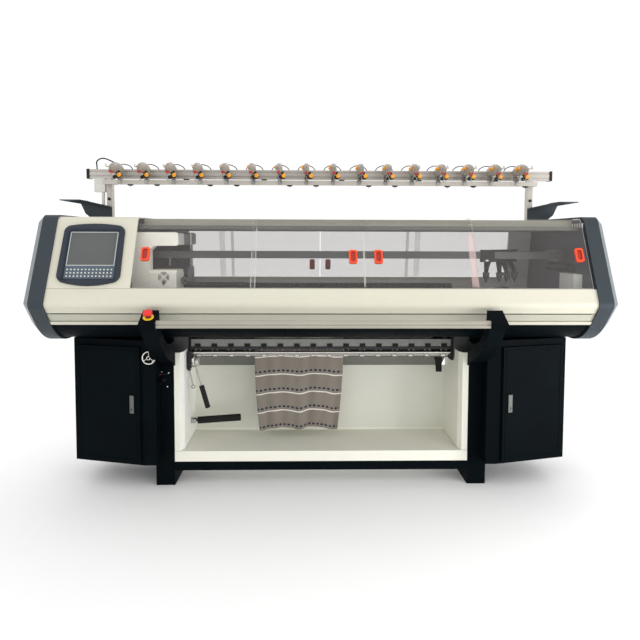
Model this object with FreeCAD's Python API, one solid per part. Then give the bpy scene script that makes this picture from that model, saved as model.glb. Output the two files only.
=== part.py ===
"""Computerised flat knitting machine with a 52-inch needle bed.

Millimetres. X runs along the machine (right as seen by the operator), Y from the operator
to the rear, Z up from the floor. The origin is on the floor, under the middle of the machine.
"""
import FreeCAD, Part
import math
import os

V = FreeCAD.Vector
ALONG_X = V(1, 0, 0)
ALONG_Y = V(0, 1, 0)
ALONG_Z = V(0, 0, 1)

# ---------------------------------------------------------------- driving dimensions
# body: the long housing that carries the needle beds
bed_apex_z = 984.0               # working height: the gap line between the needle beds
body_half_length = 1310.0        # centre to the outer face of an end cap
cap_width = 96.0                 # end cap, along X
cap_bevel = 30.0                 # bevel round the outer face of an end cap
wall_lip = 8.0                   # how far a cap's inner wall plugs into the covers
body_rise = 330.0                # top of the housing over the working height
body_drop = 256.0                # bottom of the housing under the working height
nose_y = -390.0                  # the foremost line of the housing
nose_drop = 68.0                 # that line under the working height
front_lean_deg = 25.8            # lean of the windows and control panel from the vertical
belly_back = 164.0               # front underside: from the nose back to the bottom
rear_y = 490.0
rear_low_rise = 62.0             # lower and upper end of the rear's upright face
rear_shoulder_drop = 4.0
rear_top_step = 60.0             # how far the rear's top and bottom corners lie inwards
rear_bottom_step = 50.0
nose_radius = 34.0
belly_radius = 280.0
top_radius = 44.0
rear_radius = 60.0
rear_low_radius = 40.0
cover_inset = 8.0                # covers lie this far inside the outline of the end caps
cover_wall = 3.0
pan_inset = 9.0
pan_wall = 6.0
seam_gap = 3.0
seam_depth = 2.0
butt_gap = 1.0                   # between covers that meet edge to edge
control_cover_length = 356.0     # from the left wall to the first window
apron_top_rise = 3.0             # aprons' upper edge over the working height
apron_seam_drop = 39.0           # below the nose line: seam, skirt and bead
skirt_drop = 75.5
bead_top_drop = 79.0
bead_bottom_drop = 94.0
bead_proud = 5.0
rear_apron_drop = 83.0           # rear cover's lower edge, below the nose line
slot_half_width = 10.0           # fabric slot in the housing's bottom
slot_margin = 20.0               # how far the slot runs past the bed's end
cover_lip = 18.0                 # folded edge of the top cover
cover_drop = 14.0                # top cover under the housing's top
cover_low_gap = 9.0              # lowered front strip of the cover under the inner windows
cover_front_step = 20.0          # from the housing's front top line to the cover's edge
cover_back_step = 7.0
cover_flare = 3.0
cover_seam = 0.5
vent_count = 9
vent_pitch = 26.0
vent_width = 10.0
vent_height = 22.0
vent_depth = 4.0
vent_first_y = -210.0
vent_top_drop = 30.0

# windows of clear sheet, outer pair and inner pair
window_wall = 4.0
outer_window_inset = 9.0
inner_window_inset = 33.0
window_bottom_gap = 2.0          # between an apron's upper edge and a window
window_return = 92.5             # bent-over top, from the front top line to its rear edge
inner_window_length = 512.0
window_middle_shift = 8.0
window_joint_gap = 2.0
window_side_gap = 1.0
left_window_overlap = 24.0
right_window_overlap = 12.0
handle_from_edge = [49.0, 49.0, 65.0, 38.0]
handle_width = 38.0
handle_height = 66.0
handle_drop = 173.0              # handle centre under the housing's top
handle_corner = 6.0
handle_rim = 8.0                 # flat rim round the finger well
handle_rebate = 4.0              # flange overlap on the sheet
handle_fit = 0.5                 # round the handle's body in the sheet
handle_proud = 5.0
handle_behind = 3.0
rear_opening_left_margin = 464.0
rear_opening_right_margin = 130.0
rear_fixed_length = 252.0
rear_window_gap = 2.0
rear_window_overlap = 15.0
rear_window_drop = 31.0          # rear windows' top under the housing's top
rear_handle_x = 45.0
rear_handle_width = 30.0
rear_handle_height = 60.0
rear_handle_drop = 80.0          # under the front handles' centre
rear_handle_thickness = 4.0
rear_handle_gap = 0.3
rear_fixed_inset = 12.0
rear_sliding_inset = 22.0
running_gap = 0.3
track_height = 12.0
track_margin = 3.0               # how far the track runs under the inner windows
rear_track_depth = 26.0
header_depth = 30.0
rear_header_depth = 44.0

# display and key panel
display_from_wall = 169.0
display_half_width = 139.0
display_low_rise = 39.0          # lower edge over the working height
display_top_drop = 54.0          # upper edge under the housing's top
display_corner = 22.0
display_taper = 3.0              # each side leans in by this much to the top
display_bulge_top = 15.0
display_bulge_bottom = 25.0
display_proud = 16.0
display_depth = 40.0
display_edge = 7.0
display_body_side = 19.0         # body behind the bezel, inside its outline
display_body_end = 6.6
display_body_corner = 12.0
display_fit = 0.3
face_side_margin = 29.0          # panel inside the bezel's outline
face_low_margin = 10.0
face_high_margin = 22.0
face_flare = 10.0                # how far the bezel opens towards the front
face_corner = 4.0
face_thickness = 3.0
face_seat = 4.0                  # panel's back over the body's face
screen_side_margin = 7.0
screen_top_margin = 6.0
screen_frame = 4.0
screen_frame_height = 1.5
screen_recess = 0.5
key_rows = 3
key_columns = 13
key_margin = 9.3
key_zone = 66.0                  # strip under the screen
key_row_pitch = 16.0
key_size = 7.0
key_height = 2.0
key_first_rise = 8.0

# stand, compartment and cabinets
leg_outer_x = 809.0
leg_width = 91.0
leg_front_y = -95.0
leg_rear_y = 330.0
leg_wall = 6.0
crossbeam_bottom_z = 73.0
crossbeam_height = 44.0
crossbeam_depth = 50.0
switch_from_leg_edge = 55.0      # power switch on the left leg's front
switch_offset = 8.0              # rocker beside the plate's centre
switch_drop = 201.0              # under the housing's bottom
switch_plate_width = 50.0
switch_plate_height = 46.0
switch_plate_depth = 16.0
switch_radius = 8.0
switch_width = 17.0
switch_gap = 0.5
switch_nub_width = 12.0
switch_nub_height = 6.0
switch_nub_reach = 20.0
switch_back = 3.0
tray_rise = 51.0                 # tray floor over the crossbeams
tray_back_lip = 12.0
sheet_wall = 2.0
panel_from_leg = 43.0            # from a leg's inner face to the side panel's face
panel_flange = 14.0
panel_slope = 34.0
panel_drop = 73.0                # upper edge under the housing's bottom
panel_fit = 0.3
panel_hole_radius = 5.0
panel_hole_from_front = 48.0
panel_hole_rise = 80.0
panel_hole_drop = 78.0
back_panel_from_rear = 95.0
back_panel_drop = 204.0
deflector_from_bed = 50.0
deflector_drop = 118.0
cabinet_side_step = 16.0
cabinet_strip = 24.0             # strip in front of the leg
cabinet_corner_step = 33.0       # from the leg's outer face to the slanted front
cabinet_depth_front = 83.0
cabinet_outer_step = 9.0
cabinet_bottom_z = 130.0
cabinet_wall = 3.0
cabinet_front_wall = 6.0
door_margin = 15.0
door_outer_margin = 22.7
door_low_margin = 13.0
door_high_margin = 31.0
door_thickness = 14.0
door_wall = 2.0
door_gap = 0.5
door_frame = 14.0                # doorway's edge inside the door's edge
door_ridge_margin = 13.0
door_ridge_width = 4.0
door_ridge_height = 1.5
hinge_barrel_radius = 6.0
hinge_pin_radius = 3.0
hinge_offset = 7.0               # axis beyond the door's edge
hinge_fit = 0.05
hinge_length = 40.0
hinge_lug = 14.0
hinge_end_gap = 0.3
hinge_leaf = 3.0
hinge_margin = 97.0
lock_centre = 54.0               # along the door front, from the inner corner
lock_rise = 6.0                  # over the door's middle
lock_width = 26.0
lock_height = 92.0
lock_well_rim = 2.0
lock_well_depth = 10.0
lock_pin_radius = 2.0
lock_pin_drop = 11.0
lock_pin_depth = 3.0
lock_plate_gap = 2.5
lock_plate_proud = 3.0
lock_plate_thickness = 9.0
keyhole_radius = 7.0
keyhole_drop = 24.0
wheel_inside = 27.0              # hand wheel on the left cabinet's strip
wheel_drop = 78.0
wheel_radius = 27.0
wheel_rim = 8.0
wheel_standoff = 18.0
wheel_hub_radius = 11.0
wheel_hub_length = 16.0
wheel_pin_radius = 6.0
wheel_spoke = 5.0
wheel_crank_deg = -35.0
wheel_crank_radius = 5.0
wheel_crank_length = 16.0

# horn brackets, start bar and emergency button
horn_inside_leg = 7.0
horn_width = 68.0
horn_front_reach = 100.0         # beyond the nose line
horn_back_reach = 8.0
horn_front_drop = 68.0           # below the nose line
horn_back_drop = 17.0
horn_crown_back = 2.0            # where the inner curve starts, behind the nose line
horn_crown_drop = 64.0
horn_belly_back = 72.0
horn_belly_drop = 152.0
horn_root_back = 200.0
horn_root_drop = 12.0            # under the housing's bottom
horn_foot_drop = 136.0
horn_heel_back = 240.0
horn_heel_drop = 106.0
horn_shin_back = 50.0
horn_shin_drop = 202.0           # under the nose line
horn_tip_reach = 58.0
horn_tip_drop = 96.0
bar_reach = 62.0
bar_drop = 71.0
bar_depth = 24.0
bar_height = 32.0
bar_corner = 5.0
bar_end_gap = 0.5
bar_groove = 4.0
bar_groove_depth = 3.0
bar_groove_drop = 1.0
bar_journal_radius = 8.0
bar_journal_length = 10.0
running_fit = 0.05
button_radius = 20.0
button_edge = 7.0
button_height = 15.0
button_undercut = 5.0
stem_radius = 11.0
stem_clearance = 0.5
stem_depth = 22.0
stem_bore_depth = 40.0
collar_radius = 23.0
collar_height = 3.0
button_travel = 6.0
button_standoff = 6.0

# needle beds and carriage
bed_centre_y = 60.0
bed_half_length = 660.5
bed_gap = 12.0
bed_drop = 150.0                 # fall of the bed from its apex to its lower edge
bed_thickness = 22.0
needle_grooves = 52
groove_width = 3.0
groove_depth = 4.0
beam_depth = 130.0
beam_step = 8.0                  # bed beam under and behind the bed
beam_end_margin = 10.0
guard_radius = 107.0
guard_from_wall = 286.0
guard_half_depth = 20.0
guard_drop = 15.0
guide_rail_drop = 184.0          # carriage rails' top under the working height
guide_rail_height = 40.0
guide_rail_width = 25.0
guide_rail_step = 15.0
runner_gap = 0.3
upper_rail_drop = 44.0           # under the housing's top
upper_rail_height = 26.0
upper_rail_width = 30.0
upper_rail_lip = 8.0
upper_rail_groove = 3.0
carriage_from_wall = 313.0
carriage_column_width = 82.0
carriage_width = 217.0
carriage_half_depth = 225.0
carriage_bed_gap = 3.0           # between a column and the bed's lower edge
carriage_rail_gap = 8.0
carriage_arm_height = 63.0
carriage_corner = 10.0
carriage_seam_depth = 1.2
carriage_knee = 23.0
carriage_seam_x = 122.0
carriage_seam = 1.5
cam_box_length = 125.0
cam_box_rail_gap = 51.0
cam_box_drop = 143.0
cam_box_inner_y = 5.0
cam_box_edge = 14.0
cam_box_back_edge = 20.0
cam_clearance = 6.0
cam_vent_radius = 24.0
cam_vent_core = 15.0
cam_vent_bar = 6.0
cam_vent_drop = 34.0
cam_vent_depth = 3.0
cam_knob_drop = 36.0
cam_knob_radius = 6.0
cam_knob_depth = 8.0
cam_vent_shift = 4.0
carrier_rail_pitch = 40.0
carrier_rails = 4
carrier_rail_width = 12.0
carrier_rail_height = 34.0
carrier_rail_gap = 0.4
carrier_rail_below_arm = 29.0
carrier_rail_flange = 12.0
carrier_rail_web_cut = 2.5
carrier_rail_block = 28.0
carrier_rail_block_margin = 10.0
carrier_from_wall = [379.0, 308.0, 270.0, 226.0]
carrier_width = 66.0
carrier_over_rail = 11.0
carrier_under_rail = 16.0
carrier_cheek = 8.0
carrier_lip = 3.0
carrier_notch_half = 12.0
carrier_arm_shift = 10.0
carrier_arm_width = 10.0
carrier_arm_lap = 14.0
carrier_arm_thickness = 5.0
carrier_knee_rise = 54.5
carrier_foot_height = 38.0
carrier_foot_half = 12.0
carrier_shoulder_half = 9.0
carrier_shoulder_rise = 22.0
carrier_tip_half = 2.5
carrier_tip_gap = 3.5
carrier_tip_pitch = 8.0

# takedown
roller_drop = 112.0              # roller axis under the housing's bottom
main_roller_radius = 18.0
press_roller_radius = 9.0
nip_gap = 1.3                    # from the fabric's middle to a roller's surface
journal_radius = 8.0
press_rod_radius = 3.0
press_roller_half = 10.0
roller_end_gap = 4.0
takedown_end_margin = 33.5       # last bracket's centre inside an end plate
takedown_count = 16
end_plate_from_panel = 19.0
end_plate_thickness = 12.0
end_plate_front_y = 12.0
end_plate_rear_y = 110.0
end_plate_drop = 132.0
strip_front_y = 22.0
strip_top_drop = 30.0
strip_height = 33.0
strip_wall = 3.0
strip_flange = 22.0
square_shaft_y = 27.0
square_shaft_drop = 72.5
square_shaft_half = 5.5
round_shaft_y = 26.0
round_shaft_drop = 95.0
round_shaft_radius = 7.0
bracket_half = 14.0
bracket_cheek = 3.0
bracket_gap = 0.3
bracket_depth = 18.0
bracket_hook = 4.0
bracket_hook_height = 14.0
hook_plate_from_end = 26.0
hook_plate_width = 49.0
hook_plate_foot = 30.0
hook_plate_drop = 212.0
hook_plate_step = 59.0
hook_plate_thickness = 6.0
hook_plate_gap = 10.0

# takedown levers on the left side panel
lever_hub_y = 0.0
lever_hub_drop = 153.0
lever_hub_radius = 14.0
lever_rod_radius = 4.0
lever_rod_from_panel = 19.0
lever_rod_drop = 6.0             # rod's start under the hub's axis
lever_elbow_x = 26.0             # the rod's elbow and end, from its start
lever_elbow_drop = 8.0
lever_end_x = 53.5
lever_end_drop = 105.0
lever_grip_radius = 13.0
lever_grip_length = 116.0
ring_hub_y = 40.0
ring_hub_drop = 179.0
ring_hub_radius = 11.0
ring_drop = 94.0                 # ring's centre under the hub's axis
ring_swing = 16.0
ring_rod_from_panel = 8.0
ring_rod_drop = 8.0
ring_radius = 11.0
ring_hole_radius = 5.0
ring_thickness = 6.0
hub_pin_radius = 5.0
hub_side_gap = 3.0
hub_pin_length = 27.0
ring_pin_length = 15.0
grip_pivot_from_panel = 19.0
grip_pivot_y = 100.0
grip_pivot_rise = 94.0
grip_tilt_deg = 4.0
grip_start = 16.0
grip_length = 222.0
grip_radius = 18.0
grip_stalk_radius = 6.0
grip_eye_radius = 9.0
grip_eye_half = 11.0
clevis_half_width = 17.0
clevis_pin_half = 15.0
clevis_half_height = 10.0
clevis_wall = 5.5
clevis_back = 4.0
clevis_reach = 9.0

# knitted fabric
fabric_left_x = -343.0
fabric_right_x = 120.0
fabric_hem_left_x = -316.0
fabric_hem_right_x = 83.0
fabric_hem_z = 226.0
fabric_top_drop = 14.0
fabric_thickness = 1.5
fabric_columns = 28
fabric_free_drop = 25.0          # folds begin this far under the rollers
fabric_levels = 6
fabric_fold_depth = 9.0
fabric_wide_folds = 2.7          # across the cloth
fabric_narrow_folds = 5.6

# yarn feeder frame over the machine
frame_beam_shorter = 87.0        # beam's end inside an end cap's outer face
beam_y = 229.0
beam_rise = 205.0                # beam's underside over the housing's top
beam_height = 48.0
beam_thickness = 40.0
beam_groove = 6.0
beam_groove_depth = 4.0
beam_groove_margin = 12.0
beam_cap = 6.0
beam_cap_proud = 2.0
channel_shorter = 157.0
channel_step_y = 69.0
channel_gap = 12.0
channel_height = 23.0
channel_depth = 30.0
channel_wall = 3.0
post_from_end = 111.0
post_width = 28.0
bracket_wall = 5.0
bracket_from_end = 59.0
bracket_rise = 87.0
bracket_fall = 34.0
bracket_knee = 14.0
bracket_knee_rise = 22.0
bracket_foot_gap = 2.0
bracket_rib_reach = 8.0
bracket_rib_drop = 16.0
bracket_shelf_width = 103.0
bracket_shelf_depth = 130.0
bracket_edge = 30.0
bracket_hole_spacing = 70.0
bracket_hole_radius = 4.5
junction_gap = 8.0
junction_width = 56.0
junction_height = 71.0
junction_depth = 30.0
junction_conduit_radius = 9.0
wall_box_depth = 40.0
wall_box_front_y = -224.0
wall_box_length = 158.0
wall_box_drop = 24.0
wall_box_height = 86.0

# yarn tensioners
tensioner_count = 16
tensioner_end_margin = 38.5
tensioner_centre_x = -10.0
tensioner_width = 22.0
tensioner_chamfer = 6.0
tensioner_leg_half = 7.0
tensioner_leg_depth = 44.0
tensioner_front_y = -5.0
tensioner_length = 205.0
tensioner_rise = 39.0            # shell's underside over the channel
tensioner_nose = 8.0             # heights of the shell at its nose, crown and tail
tensioner_crown_y = 90.0
tensioner_crown = 44.0
tensioner_tail = 24.0
knob_radius = 9.0
knob_depth = 8.0
knob_rise = 20.0
knob_first_y = 60.0
knob_pitch = 46.0
dial_radius = 11.0
dial_depth = 6.0
dial_side_gap = 12.0
dial_foot_y = 86.0
dial_foot_drop = 15.0
dial_seat_y = 60.0
dial_seat_drop = 22.0
cup_radius = 15.0
cup_stalk = 12.0
cup_stalk_drop = 18.0
cup_stalk_lap = 5.0
lamp_half = 7.0
lamp_front_y = 6.0
lamp_length = 32.0
lamp_height = 13.0
arm_reach = 58.0
arm_radius = 2.0
arm_height = 5.0
arm_slope = 4.0
eyelet_radius = 10.0
eyelet_hole = 6.0
eyelet_thickness = 4.0
dish_radius = 16.0
dish_low_radius = 7.0
dish_height = 8.0
dish_shift = -18.0

# cables
conduit_radius = 14.0
conduit_from_bed = 34.0
conduit_over_bed = 288.5
conduit_gap = 0.3
wall_conduit_radius = 20.0
wall_conduit_front_y = -160.0
wall_conduit_rear_y = 122.0
wall_conduit_front_rise = 90.0
wall_conduit_rear_rise = 86.0
lead_radius = 3.5
lead_from_beam_end = 43.0
lead_route = [(0.0, 0.0, 0.0), (0.0, 0.0, 20.0), (0.0, -13.0, 41.0), (34.0, -26.0, 59.0), (80.0, -33.0, 45.0)]
lead_end_y = 190.0
lead_end_drop = 12.0

# ---------------------------------------------------------------- derived places
cap_inner_x = body_half_length - cap_width
wall_x = cap_inner_x - wall_lip
nose_z = bed_apex_z - nose_drop
body_top_z = bed_apex_z + body_rise
body_bottom_z = bed_apex_z - body_drop
lean = math.radians(front_lean_deg)
front_top_y = nose_y + (body_top_z - nose_z) * math.tan(lean)
rear_top_y = rear_y - rear_top_step
rear_shoulder_z = bed_apex_z - rear_shoulder_drop
outline = [
    (nose_y, nose_z),
    (nose_y + belly_back, body_bottom_z),
    (rear_y - rear_bottom_step, body_bottom_z),
    (rear_y, body_bottom_z + rear_low_rise),
    (rear_y, rear_shoulder_z),
    (rear_top_y, body_top_z),
    (front_top_y, body_top_z),
]
outline_radii = [nose_radius, belly_radius, rear_radius, rear_low_radius,
                 rear_radius, rear_radius, top_radius]
control_right_x = -wall_x + control_cover_length
pan_floor_z = body_bottom_z + pan_inset + pan_wall
middle_y = 0.0


# ---------------------------------------------------------------- drawing helpers
def in_yz(x):
    return lambda u, v: V(x, u, v)


def in_xz(y):
    return lambda u, v: V(u, y, v)


def in_xy(z):
    return lambda u, v: V(u, v, z)


def unit(a, b):
    length = math.hypot(b[0] - a[0], b[1] - a[1])
    return ((b[0] - a[0]) / length, (b[1] - a[1]) / length)


def rounded_wire(points, radii, place):
    """Closed wire through the points, with an arc of the given radius at each corner."""
    count = len(points)
    corners = []
    for i in range(count):
        before = points[i - 1]
        here = points[i]
        after = points[(i + 1) % count]
        radius = radii[i] if radii else 0.0
        a = unit(here, before)
        b = unit(here, after)
        cosine = max(-1.0, min(1.0, a[0] * b[0] + a[1] * b[1]))
        half = math.acos(cosine) / 2.0
        if radius < 0.05 or half > 1.56:
            corners.append((here, None, here))
            continue
        reach = radius / math.tan(half)
        start = (here[0] + a[0] * reach, here[1] + a[1] * reach)
        end = (here[0] + b[0] * reach, here[1] + b[1] * reach)
        bisector = unit((0.0, 0.0), (a[0] + b[0], a[1] + b[1]))
        depth = radius / math.sin(half) - radius
        middle = (here[0] + bisector[0] * depth, here[1] + bisector[1] * depth)
        corners.append((start, middle, end))
    edges = []
    for i in range(count):
        start, middle, end = corners[i]
        following = corners[(i + 1) % count][0]
        if middle is not None:
            edges.append(Part.Arc(place(*start), place(*middle), place(*end)).toShape())
        if math.hypot(following[0] - end[0], following[1] - end[1]) > 0.01:
            edges.append(Part.LineSegment(place(*end), place(*following)).toShape())
    return Part.Wire(edges)


def arc_points(start, through, end, steps):
    """Points along a circular arc in the plane of a drawing."""
    arc = Part.Arc(V(start[0], start[1], 0), V(through[0], through[1], 0), V(end[0], end[1], 0))
    return [(point.x, point.y) for point in arc.toShape().discretize(steps + 1)]


def prism(points, place, travel, radii=None):
    return Part.Face(rounded_wire(points, radii, place)).extrude(travel)


def offset_corner(before, here, after, distance):
    """The corner moved to the left of the path by the distance, on the mitre line."""
    a = unit(before, here)
    b = unit(here, after)
    normal_a = (-a[1], a[0])
    normal_b = (-b[1], b[0])
    share = 1.0 + normal_a[0] * normal_b[0] + normal_a[1] * normal_b[1]
    return (here[0] + distance * (normal_a[0] + normal_b[0]) / share,
            here[1] + distance * (normal_a[1] + normal_b[1]) / share)


def inset(distance):
    """The housing's outline moved inwards, with its corner radii."""
    count = len(outline)
    points = []
    for i in range(count):
        points.append(offset_corner(outline[i - 1], outline[i], outline[(i + 1) % count], distance))
    radii = [max(radius - distance, 0.0) for radius in outline_radii]
    return points, radii


def body_slab(distance, x_from, x_to):
    points, radii = inset(distance)
    return prism(points, in_yz(x_from), V(x_to - x_from, 0, 0), radii)


def body_skin(distance, wall, x_from, x_to):
    return body_slab(distance, x_from, x_to).cut(body_slab(distance + wall, x_from - 1, x_to + 1))


def folded_sheet(path, wall, place, travel):
    """A sheet folded along an open path, its wall to the left of the path."""
    last = len(path) - 1
    far = []
    for i in range(len(path)):
        if i == 0 or i == last:
            a = unit(path[max(i - 1, 0)], path[max(i, 1)])
            far.append((path[i][0] - a[1] * wall, path[i][1] + a[0] * wall))
        else:
            far.append(offset_corner(path[i - 1], path[i], path[i + 1], wall))
    return prism(path + far[::-1], place, travel)


def box(x_from, x_to, y_from, y_to, z_from, z_to):
    return Part.makeBox(x_to - x_from, y_to - y_from, z_to - z_from, V(x_from, y_from, z_from))


def rod(start, end, radius):
    return Part.makeCylinder(radius, (end - start).Length, start, end - start)


def polygon_round(centre, axis, radius, sides):
    """Corners of a closed regular polygon round an axis, the first one repeated."""
    along = V(axis).normalize()
    across = along.cross(ALONG_Z if abs(along.z) < 0.9 else ALONG_X).normalize()
    upwards = along.cross(across)
    corners = []
    for i in range(sides):
        angle = 2.0 * math.pi * (i + 0.5) / sides
        corners.append(centre + across * (radius * math.cos(angle)) + upwards * (radius * math.sin(angle)))
    return corners + corners[:1]


def facetted_rod(start, end, radius, sides):
    section = Part.makePolygon(polygon_round(start, end - start, radius, sides))
    return Part.Face(section).extrude(end - start)


def facetted_stack(rings):
    """Solid between parallel polygons with as many corners each, from the lowest to the highest."""
    faces = [Part.Face(Part.makePolygon(rings[0][::-1])), Part.Face(Part.makePolygon(rings[-1]))]
    for lower, upper in zip(rings[:-1], rings[1:]):
        for i in range(len(lower) - 1):
            quad = [lower[i], lower[i + 1], upper[i + 1], upper[i], lower[i]]
            faces.append(Part.Face(Part.makePolygon(quad)))
    shell = Part.Shell(faces)
    shell.sewShape()
    return Part.Solid(shell)


def bent_bar(points, radius, sides):
    """Straight bars that meet at mitred elbows."""
    bars = []
    last = len(points) - 1
    for i in range(last):
        start = V(points[i])
        end = V(points[i + 1])
        along = (end - start).normalize()
        if i > 0:
            turn = along.getAngle(points[i] - points[i - 1])
            start = start - along * (radius * math.tan(turn / 2.0))
        if i + 1 < last:
            turn = along.getAngle(points[i + 2] - points[i + 1])
            end = end + along * (radius * math.tan(turn / 2.0))
        bars.append(facetted_rod(start, end, radius, sides))
    return fused(bars)


def fused(solids):
    first = solids[0]
    if len(solids) > 1:
        first = first.fuse(solids[1:])
    return first.removeSplitter()


def mirrored(shape):
    return shape.mirror(V(0, 0, 0), ALONG_X)


def on_front_slope(shape, x, z, lift):
    """Moves a shape drawn flat (X across, Y up the slope, Z outwards) onto the leaning front."""
    foot = V(x, nose_y + (z - nose_z) * math.tan(lean), z)
    outwards = V(0, -math.cos(lean), math.sin(lean))
    placed = shape.copy()
    placed.Placement = FreeCAD.Placement(foot + outwards * lift,
                                         FreeCAD.Rotation(ALONG_X, 90.0 - front_lean_deg))
    return placed


def clipped_corners(x_from, x_to, y_from, y_to, clip):
    """Rectangle with its corners cut off."""
    return [(x_from + clip, y_from), (x_to - clip, y_from), (x_to, y_from + clip), (x_to, y_to - clip),
            (x_to - clip, y_to), (x_from + clip, y_to), (x_from, y_to - clip), (x_from, y_from + clip)]


def clipped_block(width, height, clip, depth, z_from=0.0):
    corners = clipped_corners(-width / 2.0, width / 2.0, -height / 2.0, height / 2.0, clip)
    return prism(corners, in_xy(z_from), V(0, 0, depth))


def save(node, shape):
    if isinstance(shape, list):
        shape = Part.makeCompound(shape)
    if not shape.isValid():
        print("not valid:", node)
    shape.exportStep("parts/" + node + ".step")


os.makedirs("parts", exist_ok=True)


# ---------------------------------------------------------------- housing
def end_cap():
    """Right end cap: full outline, then a bevel to the outer face, and the inner wall plug."""
    edge_x = body_half_length - cap_bevel
    full = body_slab(0.0, cap_inner_x, edge_x)
    outer_points, outer_radii = inset(0.0)
    small_points, small_radii = inset(cap_bevel)
    bevel = Part.makeLoft([rounded_wire(outer_points, outer_radii, in_yz(edge_x)),
                           rounded_wire(small_points, small_radii, in_yz(body_half_length))],
                          True, True)
    plug = body_slab(pan_inset + pan_wall, wall_x, cap_inner_x)
    return fused([full, bevel, plug])


def vent_slots():
    top_z = body_top_z - vent_top_drop
    slots = []
    for i in range(vent_count):
        y = vent_first_y + vent_pitch * i
        slots.append(box(wall_x - 1, wall_x + vent_depth, y, y + vent_width, top_z - vent_height, top_z))
    return slots


right_cap = end_cap()
save("right_end_cap", right_cap.cut(vent_slots()))
save("left_end_cap", mirrored(right_cap))

span_from = -cap_inner_x
span_to = cap_inner_x
far_back = rear_y + rear_radius
far_front = nose_y - nose_radius
apron_top_z = bed_apex_z + apron_top_rise
apron_seam_z = nose_z - apron_seam_drop
skirt_bottom_z = nose_z - skirt_drop
bead_top_z = nose_z - bead_top_drop
bead_bottom_z = nose_z - bead_bottom_drop
rear_apron_bottom_z = nose_z - rear_apron_drop


def front_strip(shape, z_from, z_to):
    return shape.common(box(span_from, span_to, far_front, middle_y, z_from, z_to))


def rear_strip(shape, x_from, x_to, z_from, z_to):
    return shape.common(box(x_from, x_to, middle_y, far_back, z_from, z_to))


skin = body_skin(cover_inset, cover_wall, span_from, span_to)
save("front_apron", front_strip(skin, apron_seam_z + seam_gap / 2, apron_top_z))

skirt_face = front_strip(skin, skirt_bottom_z, apron_seam_z - seam_gap / 2)
skirt_web = body_skin(cover_inset + seam_depth, cover_wall - seam_depth, span_from, span_to)
skirt_web = front_strip(skirt_web, bead_top_z, skirt_bottom_z)
bead = body_skin(cover_inset - bead_proud, cover_wall + bead_proud, span_from, span_to)
bead = front_strip(bead, bead_bottom_z, bead_top_z)
save("apron_skirt", fused([skirt_face, skirt_web, bead]))

pan = body_skin(pan_inset, pan_wall, span_from, span_to)
pan_front = front_strip(pan, body_bottom_z, bead_bottom_z - butt_gap)
pan_rear = rear_strip(pan, span_from, span_to, body_bottom_z, rear_apron_bottom_z - butt_gap)
slot_half_length = bed_half_length + slot_margin
fabric_slot = box(-slot_half_length, slot_half_length, bed_centre_y - slot_half_width,
                  bed_centre_y + slot_half_width, body_bottom_z, pan_floor_z + 5)
save("base_pan", fused([pan_front, pan_rear]).cut(fabric_slot))

cover_high_z = body_top_z - cover_drop
rear_seam_z = cover_high_z - cover_lip - cover_seam
control_skin = body_skin(cover_inset, cover_wall, span_from, control_right_x)
control_front = front_strip(control_skin, apron_top_z + butt_gap, body_top_z)
control_rear = rear_strip(control_skin, span_from, control_right_x, rear_seam_z + cover_seam, body_top_z)
control_cover = fused([control_front, control_rear])

rear_opening_left_x = -wall_x + rear_opening_left_margin
rear_opening_right_x = wall_x - rear_opening_right_margin
rear_skin = rear_strip(skin, span_from, span_to, rear_apron_bottom_z, rear_seam_z)
rear_window_hole = box(rear_opening_left_x, rear_opening_right_x, middle_y, far_back, apron_top_z, body_top_z)
save("rear_apron", rear_skin.cut(rear_window_hole))

window_back_y = front_top_y + window_return
cover_low_z = body_top_z - inner_window_inset - window_wall - cover_low_gap
cover_front_y = front_top_y + cover_front_step
cover_step_y = window_back_y + cover_inset
cover_back_y = rear_top_y - cover_back_step
cover_path = [
    (cover_front_y, cover_low_z - cover_lip),
    (cover_front_y, cover_low_z),
    (cover_step_y, cover_low_z),
    (cover_step_y + cover_flare, cover_high_z),
    (cover_back_y, cover_high_z),
    (cover_back_y + cover_flare, cover_high_z - cover_lip),
]
cover_left_x = control_right_x + cover_seam
save("top_cover", folded_sheet(cover_path, -cover_wall, in_yz(cover_left_x), V(wall_x - cover_left_x, 0, 0)))

# ---------------------------------------------------------------- windows and tracks
window_bottom_z = apron_top_z + window_bottom_gap
window_middle_x = (control_right_x + wall_x) / 2.0 + window_middle_shift
second_right_x = window_middle_x - window_joint_gap / 2.0
second_left_x = second_right_x - inner_window_length
third_left_x = window_middle_x + window_joint_gap / 2.0
third_right_x = third_left_x + inner_window_length
window_edges_x = [
    (control_right_x + window_side_gap, second_left_x + left_window_overlap),
    (second_left_x, second_right_x),
    (third_left_x, third_right_x),
    (third_right_x - right_window_overlap, wall_x - window_joint_gap),
]
handle_x = [
    window_edges_x[0][0] + handle_from_edge[0],
    window_edges_x[1][1] - handle_from_edge[1],
    window_edges_x[2][0] + handle_from_edge[2],
    window_edges_x[3][1] - handle_from_edge[3],
]
handle_centre_z = body_top_z - handle_drop


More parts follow.
